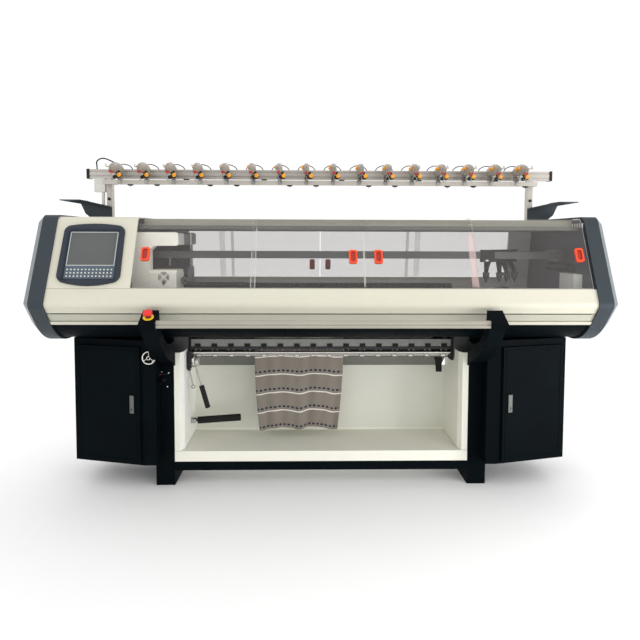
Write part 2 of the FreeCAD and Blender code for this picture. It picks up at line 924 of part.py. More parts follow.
def front_window(index):
    """One sliding window, bent over at the top, with the pull handle set into it."""
    left, right = window_edges_x[index]
    depth = outer_window_inset if index in (0, 3) else inner_window_inset
    skin_here = body_skin(depth, window_wall, left, right)
    sheet = skin_here.common(box(left, right, far_front, window_back_y, window_bottom_z, body_top_z))
    back = window_wall + handle_behind
    pull = clipped_block(handle_width, handle_height, handle_corner, handle_proud + back)
    well = clipped_block(handle_width - 2 * handle_rim, handle_height - 2 * handle_rim, handle_corner,
                         handle_proud + 1, back)
    shrink = 2 * handle_rebate
    body = clipped_block(handle_width - shrink, handle_height - shrink, handle_corner, 4 * back, -back)
    shrink -= 2 * handle_fit
    seat = clipped_block(handle_width - shrink, handle_height - shrink, handle_corner, 4 * back, -back)
    pull, body, seat = [on_front_slope(shape, handle_x[index], handle_centre_z, -depth - back)
                        for shape in (pull.cut(well), body, seat)]
    flange = pull.cut(skin_here)
    return [sheet.cut(seat), fused([flange, pull.common(body)])]


for index in range(len(window_edges_x)):
    save("front_window_%d" % (index + 1), front_window(index))

rear_window_top_z = body_top_z - rear_window_drop
rear_window_half = rear_window_overlap - rear_opening_left_x - rear_fixed_length
rear_lean = math.atan((rear_y - rear_top_y) / (body_top_z - rear_shoulder_z))


def rear_panel(left, right, depth):
    skin_here = body_skin(depth, window_wall, left, right)
    return rear_strip(skin_here, left, right, window_bottom_z, rear_window_top_z)


def rear_sliding_window():
    """Right rear window with a flat pull on its inner side."""
    sheet = rear_panel(rear_window_gap, rear_window_half, rear_sliding_inset)
    z = handle_centre_z - rear_handle_drop
    face_y = rear_y - (z - rear_shoulder_z) * math.tan(rear_lean) - rear_sliding_inset / math.cos(rear_lean)
    pull = clipped_block(rear_handle_width, rear_handle_height, handle_corner, rear_handle_thickness)
    pull.Placement = FreeCAD.Placement(V(rear_handle_x, face_y - window_wall - rear_handle_gap, z),
                                       FreeCAD.Rotation(ALONG_X, 90.0 + math.degrees(rear_lean)))
    return [sheet, pull.cut(sheet)]


rear_right = rear_sliding_window()
save("rear_window_right", rear_right)
save("rear_window_left", [mirrored(piece) for piece in rear_right])
fixed_inner_x = rear_window_half - rear_window_overlap
save("rear_fixed_windows", [
    rear_panel(rear_opening_left_x, -fixed_inner_x, rear_fixed_inset),
    rear_panel(fixed_inner_x, rear_opening_right_x, rear_fixed_inset),
])

track_inset = cover_inset + cover_wall
track_top_z = window_bottom_z - running_gap
track_depth = inner_window_inset + window_wall + track_margin - track_inset
track_core = body_skin(track_inset, track_depth, cover_left_x, wall_x)
front_floor = track_core.common(box(cover_left_x, wall_x, far_front, middle_y,
                                    track_top_z - track_height, track_top_z))
front_header = box(cover_left_x, wall_x, cover_front_y + cover_wall, cover_front_y + cover_wall + header_depth,
                   cover_low_z - cover_lip, cover_low_z - cover_wall)
rear_core = body_skin(track_inset, rear_track_depth, rear_opening_left_x, rear_opening_right_x)
rear_floor = rear_strip(rear_core, rear_opening_left_x, rear_opening_right_x,
                        track_top_z - track_height, track_top_z)
rear_header_y = cover_back_y - cover_wall - cover_seam
rear_header = box(rear_opening_left_x, rear_opening_right_x, rear_header_y - rear_header_depth, rear_header_y,
                  rear_window_top_z + running_gap, cover_high_z - cover_wall)
save("window_tracks", [front_floor, front_header, rear_floor, rear_header])

# ---------------------------------------------------------------- display
display_centre_x = -wall_x + display_from_wall
display_low_z = bed_apex_z + display_low_rise
display_high_z = body_top_z - display_top_drop
display_mid_z = (display_low_z + display_high_z) / 2.0
display_half_height = (display_high_z - display_low_z) / 2.0 / math.cos(lean)
face_half_width = display_half_width - face_side_margin
face_low = face_low_margin - display_half_height
face_high = display_half_height - face_high_margin
display_body_width = 2 * (display_half_width - display_body_side)
display_body_height = 2 * (display_half_height - display_body_end)


def display_outline(grow, z):
    """Outline with bulging top and bottom edges, drawn flat on the slope."""
    w = display_half_width + grow
    h = display_half_height + grow
    c = display_corner
    t = display_taper
    lower = arc_points((-w + c, -h), (0.0, -h - display_bulge_bottom), (w - c, -h), 6)
    upper = arc_points((w - c - t, h), (0.0, h + display_bulge_top), (-w + c + t, h), 6)
    right = arc_points((w, -h + c), (w + 0.5, 0.0), (w - t, h - c), 2)
    left = [(-x, y) for x, y in right[::-1]]
    points = [V(x, y, z) for x, y in lower + right + upper + left]
    return Part.makePolygon(points + points[:1])


def display_pieces():
    """Bezel with its body, and the panel that carries the screen and the keys."""
    shoulder = display_proud / 2.0
    foot = Part.Face(display_outline(0.0, 0.0)).extrude(V(0, 0, shoulder))
    crown = Part.makeLoft([display_outline(0.0, shoulder), display_outline(-display_edge, display_proud)],
                          True, True)
    body = clipped_block(display_body_width, display_body_height, display_body_corner, display_depth,
                         -display_depth)
    bezel = fused([foot, crown, body])
    face = clipped_corners(-face_half_width, face_half_width, face_low, face_high, face_corner)
    mouth = clipped_corners(-face_half_width - face_flare, face_half_width + face_flare,
                            face_low - face_flare, face_high + face_flare, face_corner)
    funnel = Part.makeLoft([rounded_wire(face, None, in_xy(face_seat)),
                            rounded_wire(mouth, None, in_xy(display_proud + 1.0))], True, True)
    panel_back = face_seat - 2 * face_thickness
    pocket = prism(face, in_xy(panel_back), V(0, 0, 2 * face_thickness + 1))
    bezel = bezel.cut([funnel, pocket])
    panel = prism(face, in_xy(panel_back), V(0, 0, face_thickness))
    front = panel_back + face_thickness
    screen_half = face_half_width - screen_side_margin
    screen_low = face_low + key_zone
    screen_high = face_high - screen_top_margin
    frame = box(-screen_half - screen_frame, screen_half + screen_frame, screen_low - screen_frame,
                screen_high + screen_frame, front, front + screen_frame_height)
    glass = box(-screen_half, screen_half, screen_low, screen_high, front - screen_recess,
                front + 2 * screen_frame_height)
    panel = panel.fuse(frame).cut(glass)
    key_pitch = (2 * (face_half_width - key_margin) - key_size) / (key_columns - 1)
    keys = []
    for row in range(key_rows):
        for column in range(key_columns):
            x = -face_half_width + key_margin + key_pitch * column
            y = face_low + key_first_rise + key_row_pitch * row
            keys.append(box(x, x + key_size, y, y + key_size, front, front + key_height))
    return bezel, fused([panel] + keys)


def on_display(shape):
    return on_front_slope(shape, display_centre_x, display_mid_z, -cover_inset)


display_bezel, display_panel = display_pieces()
save("display_bezel", on_display(display_bezel))
save("display_panel", on_display(display_panel))
display_hole = clipped_block(display_body_width + 2 * display_fit, display_body_height + 2 * display_fit,
                             display_body_corner, 2 * display_depth, -display_depth)
save("control_cover", control_cover.cut(on_display(display_hole)))

# ---------------------------------------------------------------- stand
leg_inner_x = leg_outer_x - leg_width
crossbeam_top_z = crossbeam_bottom_z + crossbeam_height


def leg():
    top_z = body_bottom_z + pan_inset
    shell = box(leg_inner_x, leg_outer_x, leg_front_y, leg_rear_y, 0, top_z)
    hollow = box(leg_inner_x + leg_wall, leg_outer_x - leg_wall, leg_front_y + leg_wall, leg_rear_y - leg_wall,
                 leg_wall, top_z + 1)
    return shell.cut(hollow)


right_leg = leg()
front_bar = box(-leg_inner_x, leg_inner_x, leg_front_y, leg_front_y + crossbeam_depth,
                crossbeam_bottom_z, crossbeam_top_z)
rear_bar = box(-leg_inner_x, leg_inner_x, leg_rear_y - crossbeam_depth, leg_rear_y,
               crossbeam_bottom_z, crossbeam_top_z)
switch_plate_x = -leg_outer_x + switch_from_leg_edge
switch_x = switch_plate_x - switch_offset
switch_z = body_bottom_z - switch_drop
switch_y = leg_front_y - switch_plate_depth + switch_back
switch_body = box(switch_plate_x - switch_plate_width / 2, switch_plate_x + switch_plate_width / 2,
                  leg_front_y - switch_plate_depth, leg_front_y,
                  switch_z - switch_plate_height / 2, switch_z + switch_plate_height / 2)
drum_half = V(switch_width / 2, 0, 0)
pocket_half = V(switch_width / 2 + switch_gap, 0, 0)
switch_centre = V(switch_x, switch_y, switch_z)
switch_pocket = rod(switch_centre - pocket_half, switch_centre + pocket_half, switch_radius + switch_gap)
stand = fused([mirrored(right_leg), right_leg, front_bar, rear_bar, switch_body]).cut(switch_pocket)
save("stand_frame", stand)

toggle_drum = rod(switch_centre - drum_half, switch_centre + drum_half, switch_radius)
toggle_nub = box(switch_x - switch_nub_width / 2, switch_x + switch_nub_width / 2,
                 switch_y - switch_nub_reach, switch_y - switch_radius / 2,
                 switch_z - switch_nub_height / 2, switch_z + switch_nub_height / 2)
save("power_switch_toggle", fused([toggle_drum, toggle_nub]))

# ---------------------------------------------------------------- fabric compartment
tray_z = crossbeam_top_z + tray_rise
tray_front_y = leg_front_y
back_panel_y = leg_rear_y - back_panel_from_rear
back_panel_top_z = body_bottom_z - back_panel_drop
panel_x = leg_inner_x - panel_from_leg
panel_top_z = body_bottom_z - panel_drop
tray_path = [
    (tray_front_y, crossbeam_top_z),
    (tray_front_y, tray_z),
    (back_panel_y, tray_z),
    (back_panel_y, tray_z + tray_back_lip),
]
save("collection_tray", folded_sheet(tray_path, -sheet_wall, in_yz(-leg_inner_x), V(2 * leg_inner_x, 0, 0)))

panel_path = [
    (leg_inner_x - panel_fit, tray_front_y),
    (panel_x + panel_flange, tray_front_y),
    (panel_x, tray_front_y + panel_slope),
    (panel_x, back_panel_y - sheet_wall),
]
side_panel = folded_sheet(panel_path, -sheet_wall, in_xy(tray_z + sheet_wall),
                          V(0, 0, panel_top_z - tray_z - sheet_wall))
lever_hub_z = body_bottom_z - lever_hub_drop
ring_hub_z = body_bottom_z - ring_hub_drop
hub_pin_end_x = -panel_x + hub_pin_length
ring_pin_end_x = -panel_x + ring_pin_length
grip_pivot_x = -panel_x + grip_pivot_from_panel
grip_pivot_z = tray_z + grip_pivot_rise
clevis_end_x = grip_pivot_x + clevis_reach
clevis = box(-panel_x, clevis_end_x, grip_pivot_y - clevis_half_width, grip_pivot_y + clevis_half_width,
             grip_pivot_z - clevis_half_height, grip_pivot_z + clevis_half_height)
clevis_gap_half = clevis_half_width - clevis_wall
clevis = clevis.cut(box(-panel_x + clevis_back, clevis_end_x + 1,
                        grip_pivot_y - clevis_gap_half, grip_pivot_y + clevis_gap_half,
                        grip_pivot_z - clevis_half_height - 1, grip_pivot_z + clevis_half_height + 1))
panel_fittings = [
    rod(V(-panel_x, lever_hub_y, lever_hub_z), V(hub_pin_end_x, lever_hub_y, lever_hub_z), hub_pin_radius),
    rod(V(-panel_x, ring_hub_y, ring_hub_z), V(ring_pin_end_x, ring_hub_y, ring_hub_z), hub_pin_radius),
    clevis,
    rod(V(grip_pivot_x, grip_pivot_y - clevis_pin_half, grip_pivot_z),
        V(grip_pivot_x, grip_pivot_y + clevis_pin_half, grip_pivot_z), hub_pin_radius),
]
left_side_panel = fused([mirrored(side_panel)] + panel_fittings)
back_panel = box(-panel_x, panel_x, back_panel_y - sheet_wall, back_panel_y, tray_z + tray_back_lip,
                 back_panel_top_z)
panel_holes = []
for side in (-1, 1):
    for z in (tray_z + panel_hole_rise, panel_top_z - panel_hole_drop):
        y = tray_front_y + panel_hole_from_front
        panel_holes.append(facetted_rod(V(side * (panel_x - sheet_wall), y, z),
                                        V(side * (panel_x + 2 * sheet_wall), y, z), panel_hole_radius, 8))
save("compartment_panels", [left_side_panel.cut(panel_holes), side_panel.cut(panel_holes), back_panel])

# ---------------------------------------------------------------- cabinets
cabinet_outer_x = cap_inner_x - cabinet_side_step
cabinet_strip_x = leg_outer_x - cabinet_strip
cabinet_inner_front_x = leg_outer_x + cabinet_corner_step
cabinet_front_y = leg_front_y - cabinet_depth_front
cabinet_outer_front_y = leg_front_y + cabinet_outer_step
slant = math.atan2(cabinet_outer_front_y - cabinet_front_y, cabinet_outer_x - cabinet_inner_front_x)
slant_deg = math.degrees(slant)
slant_length = math.hypot(cabinet_outer_front_y - cabinet_front_y, cabinet_outer_x - cabinet_inner_front_x)
door_left_u = door_margin
door_right_u = slant_length - door_outer_margin
door_bottom_z = cabinet_bottom_z + door_low_margin
door_top_z = body_bottom_z - door_high_margin
door_front_w = -door_gap - door_thickness
hinge_u = door_right_u + hinge_offset
hinge_w = door_gap + door_thickness / 2.0
hinge_heights = [door_bottom_z + hinge_margin, door_top_z - hinge_margin]
lock_z = (door_bottom_z + door_top_z) / 2.0 + lock_rise
lock_pin_z = lock_z + lock_height / 2.0 - lock_pin_drop
wheel_x = -(cabinet_strip_x + wheel_inside)
wheel_z = body_bottom_z - wheel_drop
wheel_y = cabinet_front_y - wheel_standoff


def on_cabinet_front(shape):
    """Moves a shape drawn with X along the slanted front, -Y outwards, to the right cabinet."""
    placed = shape.copy()
    placed.Placement = FreeCAD.Placement(V(cabinet_inner_front_x, cabinet_front_y, 0),
                                         FreeCAD.Rotation(ALONG_Z, slant_deg))
    return placed


def on_hinge(z):
    return V(hinge_u, -hinge_w, z)


def cabinet():
    """Right cabinet: a hollow box with a doorway in its slanted front, and the hinge lugs."""
    floor_plan = [
        (leg_outer_x, leg_rear_y), (leg_outer_x, leg_front_y), (cabinet_strip_x, leg_front_y),
        (cabinet_strip_x, cabinet_front_y), (cabinet_inner_front_x, cabinet_front_y),
        (cabinet_outer_x, cabinet_outer_front_y), (cabinet_outer_x, leg_rear_y),
    ]
    shell = prism(floor_plan, in_xy(cabinet_bottom_z), V(0, 0, body_bottom_z - cabinet_bottom_z))
    wall = cabinet_wall
    front_wall = cabinet_front_wall
    inner_plan = [
        (leg_outer_x + wall, leg_rear_y - wall), (leg_outer_x + wall, leg_front_y + front_wall),
        (cabinet_inner_front_x, cabinet_front_y + front_wall),
        (cabinet_outer_x - wall, cabinet_outer_front_y + front_wall),
        (cabinet_outer_x - wall, leg_rear_y - wall),
    ]
    hollow = prism(inner_plan, in_xy(cabinet_bottom_z + wall),
                   V(0, 0, body_bottom_z - cabinet_bottom_z - 2 * wall))
    doorway = on_cabinet_front(box(door_left_u + door_frame, door_right_u - door_frame, -front_wall,
                                   3 * front_wall, door_bottom_z + door_frame, door_top_z - door_frame))
    fittings = []
    for z in hinge_heights:
        low_z = z - hinge_lug - hinge_end_gap
        high_z = z + hinge_length + hinge_end_gap
        fittings.append(on_cabinet_front(rod(on_hinge(low_z), on_hinge(high_z + hinge_lug), hinge_pin_radius)))
        for lug_z in (low_z, high_z):
            barrel = facetted_rod(on_hinge(lug_z), on_hinge(lug_z + hinge_lug), hinge_barrel_radius, 8)
            leaf = box(hinge_u - hinge_leaf / 2, hinge_u + hinge_leaf / 2, -hinge_w, door_gap,
                       lug_z, lug_z + hinge_lug)
            fittings.append(on_cabinet_front(fused([barrel, leaf])))
    return fused([shell.cut(hollow).cut(doorway)] + fittings)


def ridge_box(margin, w_from, w_to):
    return box(door_left_u + margin, door_right_u - margin, w_from, w_to,
               door_bottom_z + margin, door_top_z - margin)


def lock_box(grow, w_from, w_to):
    half_width = lock_width / 2.0 + grow
    half_height = lock_height / 2.0 + grow
    return box(lock_centre - half_width, lock_centre + half_width, w_from, w_to,
               lock_z - half_height, lock_z + half_height)


def door():
    """Right door: a pan with a raised ridge, the well of the swing handle and the hinge barrels."""
    outer = box(door_left_u, door_right_u, door_front_w, -door_gap, door_bottom_z, door_top_z)
    hollow = box(door_left_u + door_wall, door_right_u - door_wall, door_front_w + door_wall, 0,
                 door_bottom_z + door_wall, door_top_z - door_wall)
    ridge = ridge_box(door_ridge_margin, door_front_w - door_ridge_height, door_front_w + 0.5)
    ridge = ridge.cut(ridge_box(door_ridge_margin + door_ridge_width, door_front_w - 3, door_front_w + 1))
    well = lock_box(lock_well_rim, door_front_w - lock_well_rim, door_front_w + lock_well_depth + lock_well_rim)
    solids = [outer.cut(hollow), ridge, well]
    for z in hinge_heights:
        solids.append(facetted_rod(on_hinge(z), on_hinge(z + hinge_length), hinge_barrel_radius, 8))
        solids.append(box(door_right_u - 1, hinge_u, -hinge_w - hinge_leaf / 2, -hinge_w + hinge_leaf / 2,
                          z, z + hinge_length))
    body = fused(solids).cut(lock_box(-lock_well_rim, door_front_w - 4, door_front_w + lock_well_depth))
    for z in hinge_heights:
        body = body.cut(rod(on_hinge(z - 1), on_hinge(z + hinge_length + 1), hinge_pin_radius + hinge_fit))
    pin = rod(V(lock_centre - lock_width / 2, door_front_w + lock_pin_depth, lock_pin_z),
              V(lock_centre + lock_width / 2, door_front_w + lock_pin_depth, lock_pin_z), lock_pin_radius)
    return on_cabinet_front(fused([body, pin]))


def lock_handle():
    """Flat swing handle that hangs on the pin in the well, with the keyhole below."""
    half = lock_width / 2.0 - lock_plate_gap
    plate = box(lock_centre - half, lock_centre + half, door_front_w - lock_plate_proud,
                door_front_w - lock_plate_proud + lock_plate_thickness,
                lock_z - lock_height / 2.0 + lock_plate_gap, lock_pin_z + 3 * lock_pin_radius)
    keyhole_z = lock_z - keyhole_drop
    keyhole = facetted_rod(V(lock_centre, door_front_w - 4, keyhole_z),
                           V(lock_centre, door_front_w + 1, keyhole_z), keyhole_radius, 8)
    bore = rod(V(lock_centre - lock_width, door_front_w + lock_pin_depth, lock_pin_z),
               V(lock_centre + lock_width, door_front_w + lock_pin_depth, lock_pin_z),
               lock_pin_radius + hinge_fit)
    return on_cabinet_front(plate.cut([keyhole, bore]))


right_cabinet = cabinet()
hub_half = V(0, wheel_hub_length / 2.0, 0)
wheel_centre = V(wheel_x, wheel_y, wheel_z)
wheel_pin = rod(V(wheel_x, cabinet_front_y, wheel_z), wheel_centre - hub_half, wheel_pin_radius)
save("right_cabinet", right_cabinet)
save("left_cabinet", fused([mirrored(right_cabinet), wheel_pin]))
right_door = door()
save("right_door", right_door)
save("left_door", mirrored(right_door))
right_lock = lock_handle()
save("right_lock_handle", right_lock)
save("left_lock_handle", mirrored(right_lock))


def hand_wheel():
    """Spoked wheel with a crank knob, turning on the pin of the left cabinet."""
    rim_half = V(0, wheel_rim / 2.0, 0)
    rim = facetted_rod(wheel_centre - rim_half, wheel_centre + rim_half, wheel_radius, 16)
    rim = rim.cut(facetted_rod(wheel_centre - rim_half * 2, wheel_centre + rim_half * 2,
                               wheel_radius - wheel_rim, 16))
    hub = facetted_rod(wheel_centre - hub_half, wheel_centre + hub_half, wheel_hub_radius, 12)
    pieces = [rim, hub]
    rim_middle = wheel_radius - wheel_rim / 2.0
    for angle_deg in (90, 210, 330):
        angle = math.radians(angle_deg)
        reach = V(math.cos(angle), 0, math.sin(angle)) * rim_middle
        pieces.append(facetted_rod(wheel_centre, wheel_centre + reach, wheel_spoke / 2.0, 4))
    crank = math.radians(wheel_crank_deg)
    knob = wheel_centre + V(math.cos(crank), 0, math.sin(crank)) * rim_middle
    pieces.append(facetted_rod(knob, knob - V(0, wheel_crank_length, 0), wheel_crank_radius, 8))
    bore = rod(wheel_centre - hub_half * 2, wheel_centre + hub_half * 2, wheel_pin_radius + running_fit)
    return fused(pieces).cut(bore)


save("hand_wheel", hand_wheel())

# ---------------------------------------------------------------- horn brackets and emergency button
horn_inner_x = leg_inner_x - horn_inside_leg
horn_front_y = nose_y - horn_front_reach
horn_back_y = nose_y - horn_back_reach
horn_front_z = nose_z - horn_front_drop
horn_back_z = nose_z - horn_back_drop
horn_tilt_deg = math.degrees(math.atan2(horn_back_z - horn_front_z, horn_back_y - horn_front_y))
horn_mid = V(-horn_inner_x - horn_width / 2, (horn_front_y + horn_back_y) / 2,
             (horn_front_z + horn_back_z) / 2)
bar_y = nose_y - bar_reach
bar_z = nose_z - bar_drop
stem_bore_radius = stem_radius + stem_clearance


def on_horn_top(shape):
    placed = shape.copy()
    placed.Placement = FreeCAD.Placement(horn_mid, FreeCAD.Rotation(ALONG_X, horn_tilt_deg))
    return placed


def horn():
    """Right horn: a curved arm from the leg up to the button's seat, with the bar's socket."""
    place = in_yz(horn_inner_x)
    front = place(horn_front_y, horn_front_z)
    back = place(horn_back_y, horn_back_z)
    crown = place(nose_y + horn_crown_back, nose_z - horn_crown_drop)
    belly = place(nose_y + horn_belly_back, nose_z - horn_belly_drop)
    root = place(nose_y + horn_root_back, body_bottom_z - horn_root_drop)
    seat_high = place(leg_front_y, body_bottom_z - horn_root_drop)
    seat_low = place(leg_front_y, body_bottom_z - horn_foot_drop)
    heel = place(nose_y + horn_heel_back, body_bottom_z - horn_heel_drop)
    shin = place(nose_y + horn_shin_back, nose_z - horn_shin_drop)
    tip = place(nose_y - horn_tip_reach, nose_z - horn_tip_drop)
    edges = [
        Part.LineSegment(front, back), Part.LineSegment(back, crown), Part.Arc(crown, belly, root),
        Part.LineSegment(root, seat_high), Part.LineSegment(seat_high, seat_low),
        Part.LineSegment(seat_low, heel), Part.Arc(heel, shin, tip), Part.LineSegment(tip, front),
    ]
    wire = Part.Wire([edge.toShape() for edge in edges])
    socket = rod(V(horn_inner_x - 1, bar_y, bar_z), V(horn_inner_x + bar_journal_length + 1, bar_y, bar_z),
                 bar_journal_radius + running_fit)
    return Part.Face(wire).extrude(V(horn_width, 0, 0)).cut(socket)


right_horn = horn()
button_bore = facetted_rod(V(0, 0, -stem_bore_depth), V(0, 0, 5),
                           stem_bore_radius / math.cos(math.pi / 16), 16)
left_horn = mirrored(right_horn).cut(on_horn_top(button_bore))
save("horn_brackets", [left_horn, right_horn])

collar = facetted_rod(V(0, 0, 0), V(0, 0, collar_height), collar_radius, 16).cut(button_bore)
save("emergency_collar", on_horn_top(collar))
head_foot = collar_height + button_travel + button_standoff
save("emergency_stem", on_horn_top(facetted_rod(V(0, 0, -stem_depth), V(0, 0, head_foot), stem_radius, 16)))


def emergency_head():
    """Mushroom head: an undercut rim and a domed crown."""
    rim_z = head_foot + button_edge
    profile = [
        (button_radius - button_undercut, head_foot),
        (button_radius, head_foot + button_edge / 2.0),
        (button_radius, rim_z),
    ]
    crown_height = button_height - button_edge
    for share in (0.45, 0.8, 1.0):
        profile.append((button_radius * math.sqrt(1.05 - share * share), rim_z + crown_height * share))
    return facetted_stack([polygon_round(V(0, 0, z), ALONG_Z, radius, 16) for radius, z in profile])


save("emergency_head", on_horn_top(emergency_head()))

bar_half = horn_inner_x - bar_end_gap
bar_corners = clipped_corners(bar_y - bar_depth / 2, bar_y + bar_depth / 2, bar_z - bar_height / 2,
                              bar_z + bar_height / 2, bar_corner)
bar = prism(bar_corners, in_yz(-bar_half), V(2 * bar_half, 0, 0))
groove_z = bar_z - bar_groove_drop
groove = box(-bar_half - 1, bar_half + 1, bar_y - bar_depth / 2 - 1, bar_y - bar_depth / 2 + bar_groove_depth,
             groove_z - bar_groove / 2, groove_z + bar_groove / 2)
journals = []
for side in (-1, 1):
    journal_end_x = side * (horn_inner_x + bar_journal_length)
    journals.append(rod(V(side * bar_half, bar_y, bar_z), V(journal_end_x, bar_y, bar_z), bar_journal_radius))
save("start_bar", fused([bar.cut(groove)] + journals))

# ---------------------------------------------------------------- needle beds and their beams
half_gap = bed_gap / 2.0
bed_front_y = bed_centre_y - half_gap
bed_back_drop = bed_thickness * math.sqrt(2.0)
bed_lower_step = bed_thickness / math.sqrt(2.0)


def needle_bed():
    """Front bed, drawn in section: it rises at 45 degrees to the gap between the beds."""
    section = [
        (bed_front_y, bed_apex_z),
        (bed_front_y - bed_drop, bed_apex_z - bed_drop),
        (bed_front_y - bed_drop + bed_lower_step, bed_apex_z - bed_drop - bed_lower_step),
        (bed_front_y, bed_apex_z - bed_back_drop),
    ]
    bed = prism(section, in_yz(-bed_half_length), V(2 * bed_half_length, 0, 0))
    pitch = 2 * bed_half_length / needle_grooves
    depth_down = groove_depth * math.sqrt(2.0)
    groove_section = [
        (bed_front_y + 1, bed_apex_z + 1),
        (bed_front_y - bed_drop - groove_depth, bed_apex_z - bed_drop - groove_depth),
        (bed_front_y - bed_drop - groove_depth, bed_apex_z - bed_drop - groove_depth - depth_down),
        (bed_front_y + 1, bed_apex_z + 1 - depth_down),
    ]
    grooves = []
    for i in range(needle_grooves):
        x = -bed_half_length + pitch * (i + 0.5)
        grooves.append(prism(groove_section, in_yz(x - groove_width / 2), V(groove_width, 0, 0)))
    return bed.cut(grooves)


def across_beds(shape):
    return shape.mirror(V(0, bed_centre_y, 0), ALONG_Y)


front_bed = needle_bed()
save("needle_beds", [front_bed, across_beds(front_bed)])

beam_back_y = bed_front_y - beam_step
beam_low_y = beam_back_y - beam_depth
beam_crest_z = bed_apex_z - bed_back_drop - beam_step
beam_section = [
    (beam_back_y, pan_floor_z),
    (beam_back_y, beam_crest_z),
    (beam_low_y, beam_crest_z - beam_depth),
    (beam_low_y, pan_floor_z),
]
bed_beam_half = bed_half_length + beam_end_margin
front_bed_beam = prism(beam_section, in_yz(-bed_beam_half), V(2 * bed_beam_half, 0, 0))


def pulley_guard():
    """Round-topped plate past the bed's right end, on the floor of the pan."""
    x = wall_x - guard_from_wall
    crown_z = bed_apex_z - guard_drop - guard_radius
    crown = arc_points((x + guard_radius, crown_z), (x, crown_z + guard_radius),
                       (x - guard_radius, crown_z), 12)
    corners = [(x - guard_radius, pan_floor_z), (x + guard_radius, pan_floor_z)] + crown
    return prism(corners, in_xz(bed_centre_y - guard_half_depth), V(0, 2 * guard_half_depth, 0))


guard = pulley_guard()
save("bed_beams", [front_bed_beam, across_beds(front_bed_beam), guard, mirrored(guard)])

# ---------------------------------------------------------------- rails
carriage_front_y = bed_centre_y - carriage_half_depth
guide_rail_top_z = bed_apex_z - guide_rail_drop
guide_front_y = carriage_front_y + guide_rail_step
guide_rail = box(-wall_x, wall_x, guide_front_y, guide_front_y + guide_rail_width,
                 guide_rail_top_z - guide_rail_height, guide_rail_top_z)
upper_rail_top_z = body_top_z - upper_rail_drop
upper_rail_bottom_z = upper_rail_top_z - upper_rail_height
upper_rail_front_y = bed_centre_y - upper_rail_width / 2
upper_rail = box(-wall_x, wall_x, upper_rail_front_y, upper_rail_front_y + upper_rail_width,
                 upper_rail_bottom_z, upper_rail_top_z)
upper_groove = box(-wall_x - 1, wall_x + 1, upper_rail_front_y - 1, upper_rail_front_y + upper_rail_groove,
                   upper_rail_bottom_z + upper_rail_lip, upper_rail_top_z - upper_rail_lip)
save("guide_rails", [guide_rail, across_beds(guide_rail), upper_rail.cut(upper_groove)])

carriage_top_z = upper_rail_bottom_z - carriage_rail_gap
carriage_arm_z = carriage_top_z - carriage_arm_height
carrier_rail_top_z = carriage_arm_z - carrier_rail_below_arm
carrier_rail_bottom_z = carrier_rail_top_z - carrier_rail_height
carrier_rail_end_x = wall_x - carrier_rail_block
carrier_rail_y = []
for i in range(carrier_rails):
    carrier_rail_y.append(bed_centre_y + carrier_rail_pitch * (i - (carrier_rails - 1) / 2.0))


def carrier_rail(y):
    """Rail with a flange above and below a thinner web."""
    half = carrier_rail_width / 2
    web = half - carrier_rail_web_cut
    low = carrier_rail_bottom_z
    high = carrier_rail_top_z
    flange = carrier_rail_flange
    right = [(y + half, low), (y + half, low + flange), (y + web, low + flange),
             (y + web, high - flange), (y + half, high - flange), (y + half, high)]
    left = [(2 * y - u, v) for u, v in right[::-1]]
    return prism(right + left, in_yz(-carrier_rail_end_x), V(2 * carrier_rail_end_x, 0, 0))


rail_solids = [carrier_rail(y) for y in carrier_rail_y]
for side in (-1, 1):
    x_from, x_to = sorted((side * carrier_rail_end_x, side * wall_x))
    rail_solids.append(box(x_from, x_to, carrier_rail_y[0] - carrier_rail_pitch / 2,
                           carrier_rail_y[-1] + carrier_rail_pitch / 2,
                           carrier_rail_bottom_z - carrier_rail_block_margin,
                           carrier_rail_top_z + carrier_rail_block_margin))
save("yarn_carrier_rails", rail_solids)

# ---------------------------------------------------------------- carriage
carriage_left_x = -wall_x + carriage_from_wall
carriage_right_x = carriage_left_x + carriage_width
carriage_column_x = carriage_left_x + carriage_column_width
carriage_depth = 2 * carriage_half_depth
carriage_column_depth = carriage_half_depth - half_gap - bed_drop - carriage_bed_gap


def carriage_bridge():
    """Arch over the beds and rails: two columns at the left and an arm over the full width."""
    low = guide_rail_top_z + runner_gap
    corner = carriage_corner
    face = [
        (carriage_left_x, low), (carriage_column_x, low), (carriage_column_x, carriage_arm_z - carriage_knee),
        (carriage_column_x + carriage_knee, carriage_arm_z), (carriage_right_x, carriage_arm_z),
        (carriage_right_x, carriage_top_z), (carriage_left_x, carriage_top_z),
    ]
    radii = [0, 0, corner, corner, corner, corner, corner]
    solid = prism(face, in_xz(carriage_front_y), V(0, carriage_depth, 0), radii)
    tunnel = box(carriage_left_x - 1, carriage_right_x + 1, carriage_front_y + carriage_column_depth,
                 carriage_front_y + carriage_depth - carriage_column_depth, low - 1, carriage_arm_z)
    seam_x = carriage_left_x + carriage_seam_x
    seam = box(seam_x, seam_x + carriage_seam, carriage_front_y - 1, carriage_front_y + carriage_seam_depth,
               carriage_arm_z - 1, carriage_top_z + 1)
    return solid.cut([tunnel, seam])


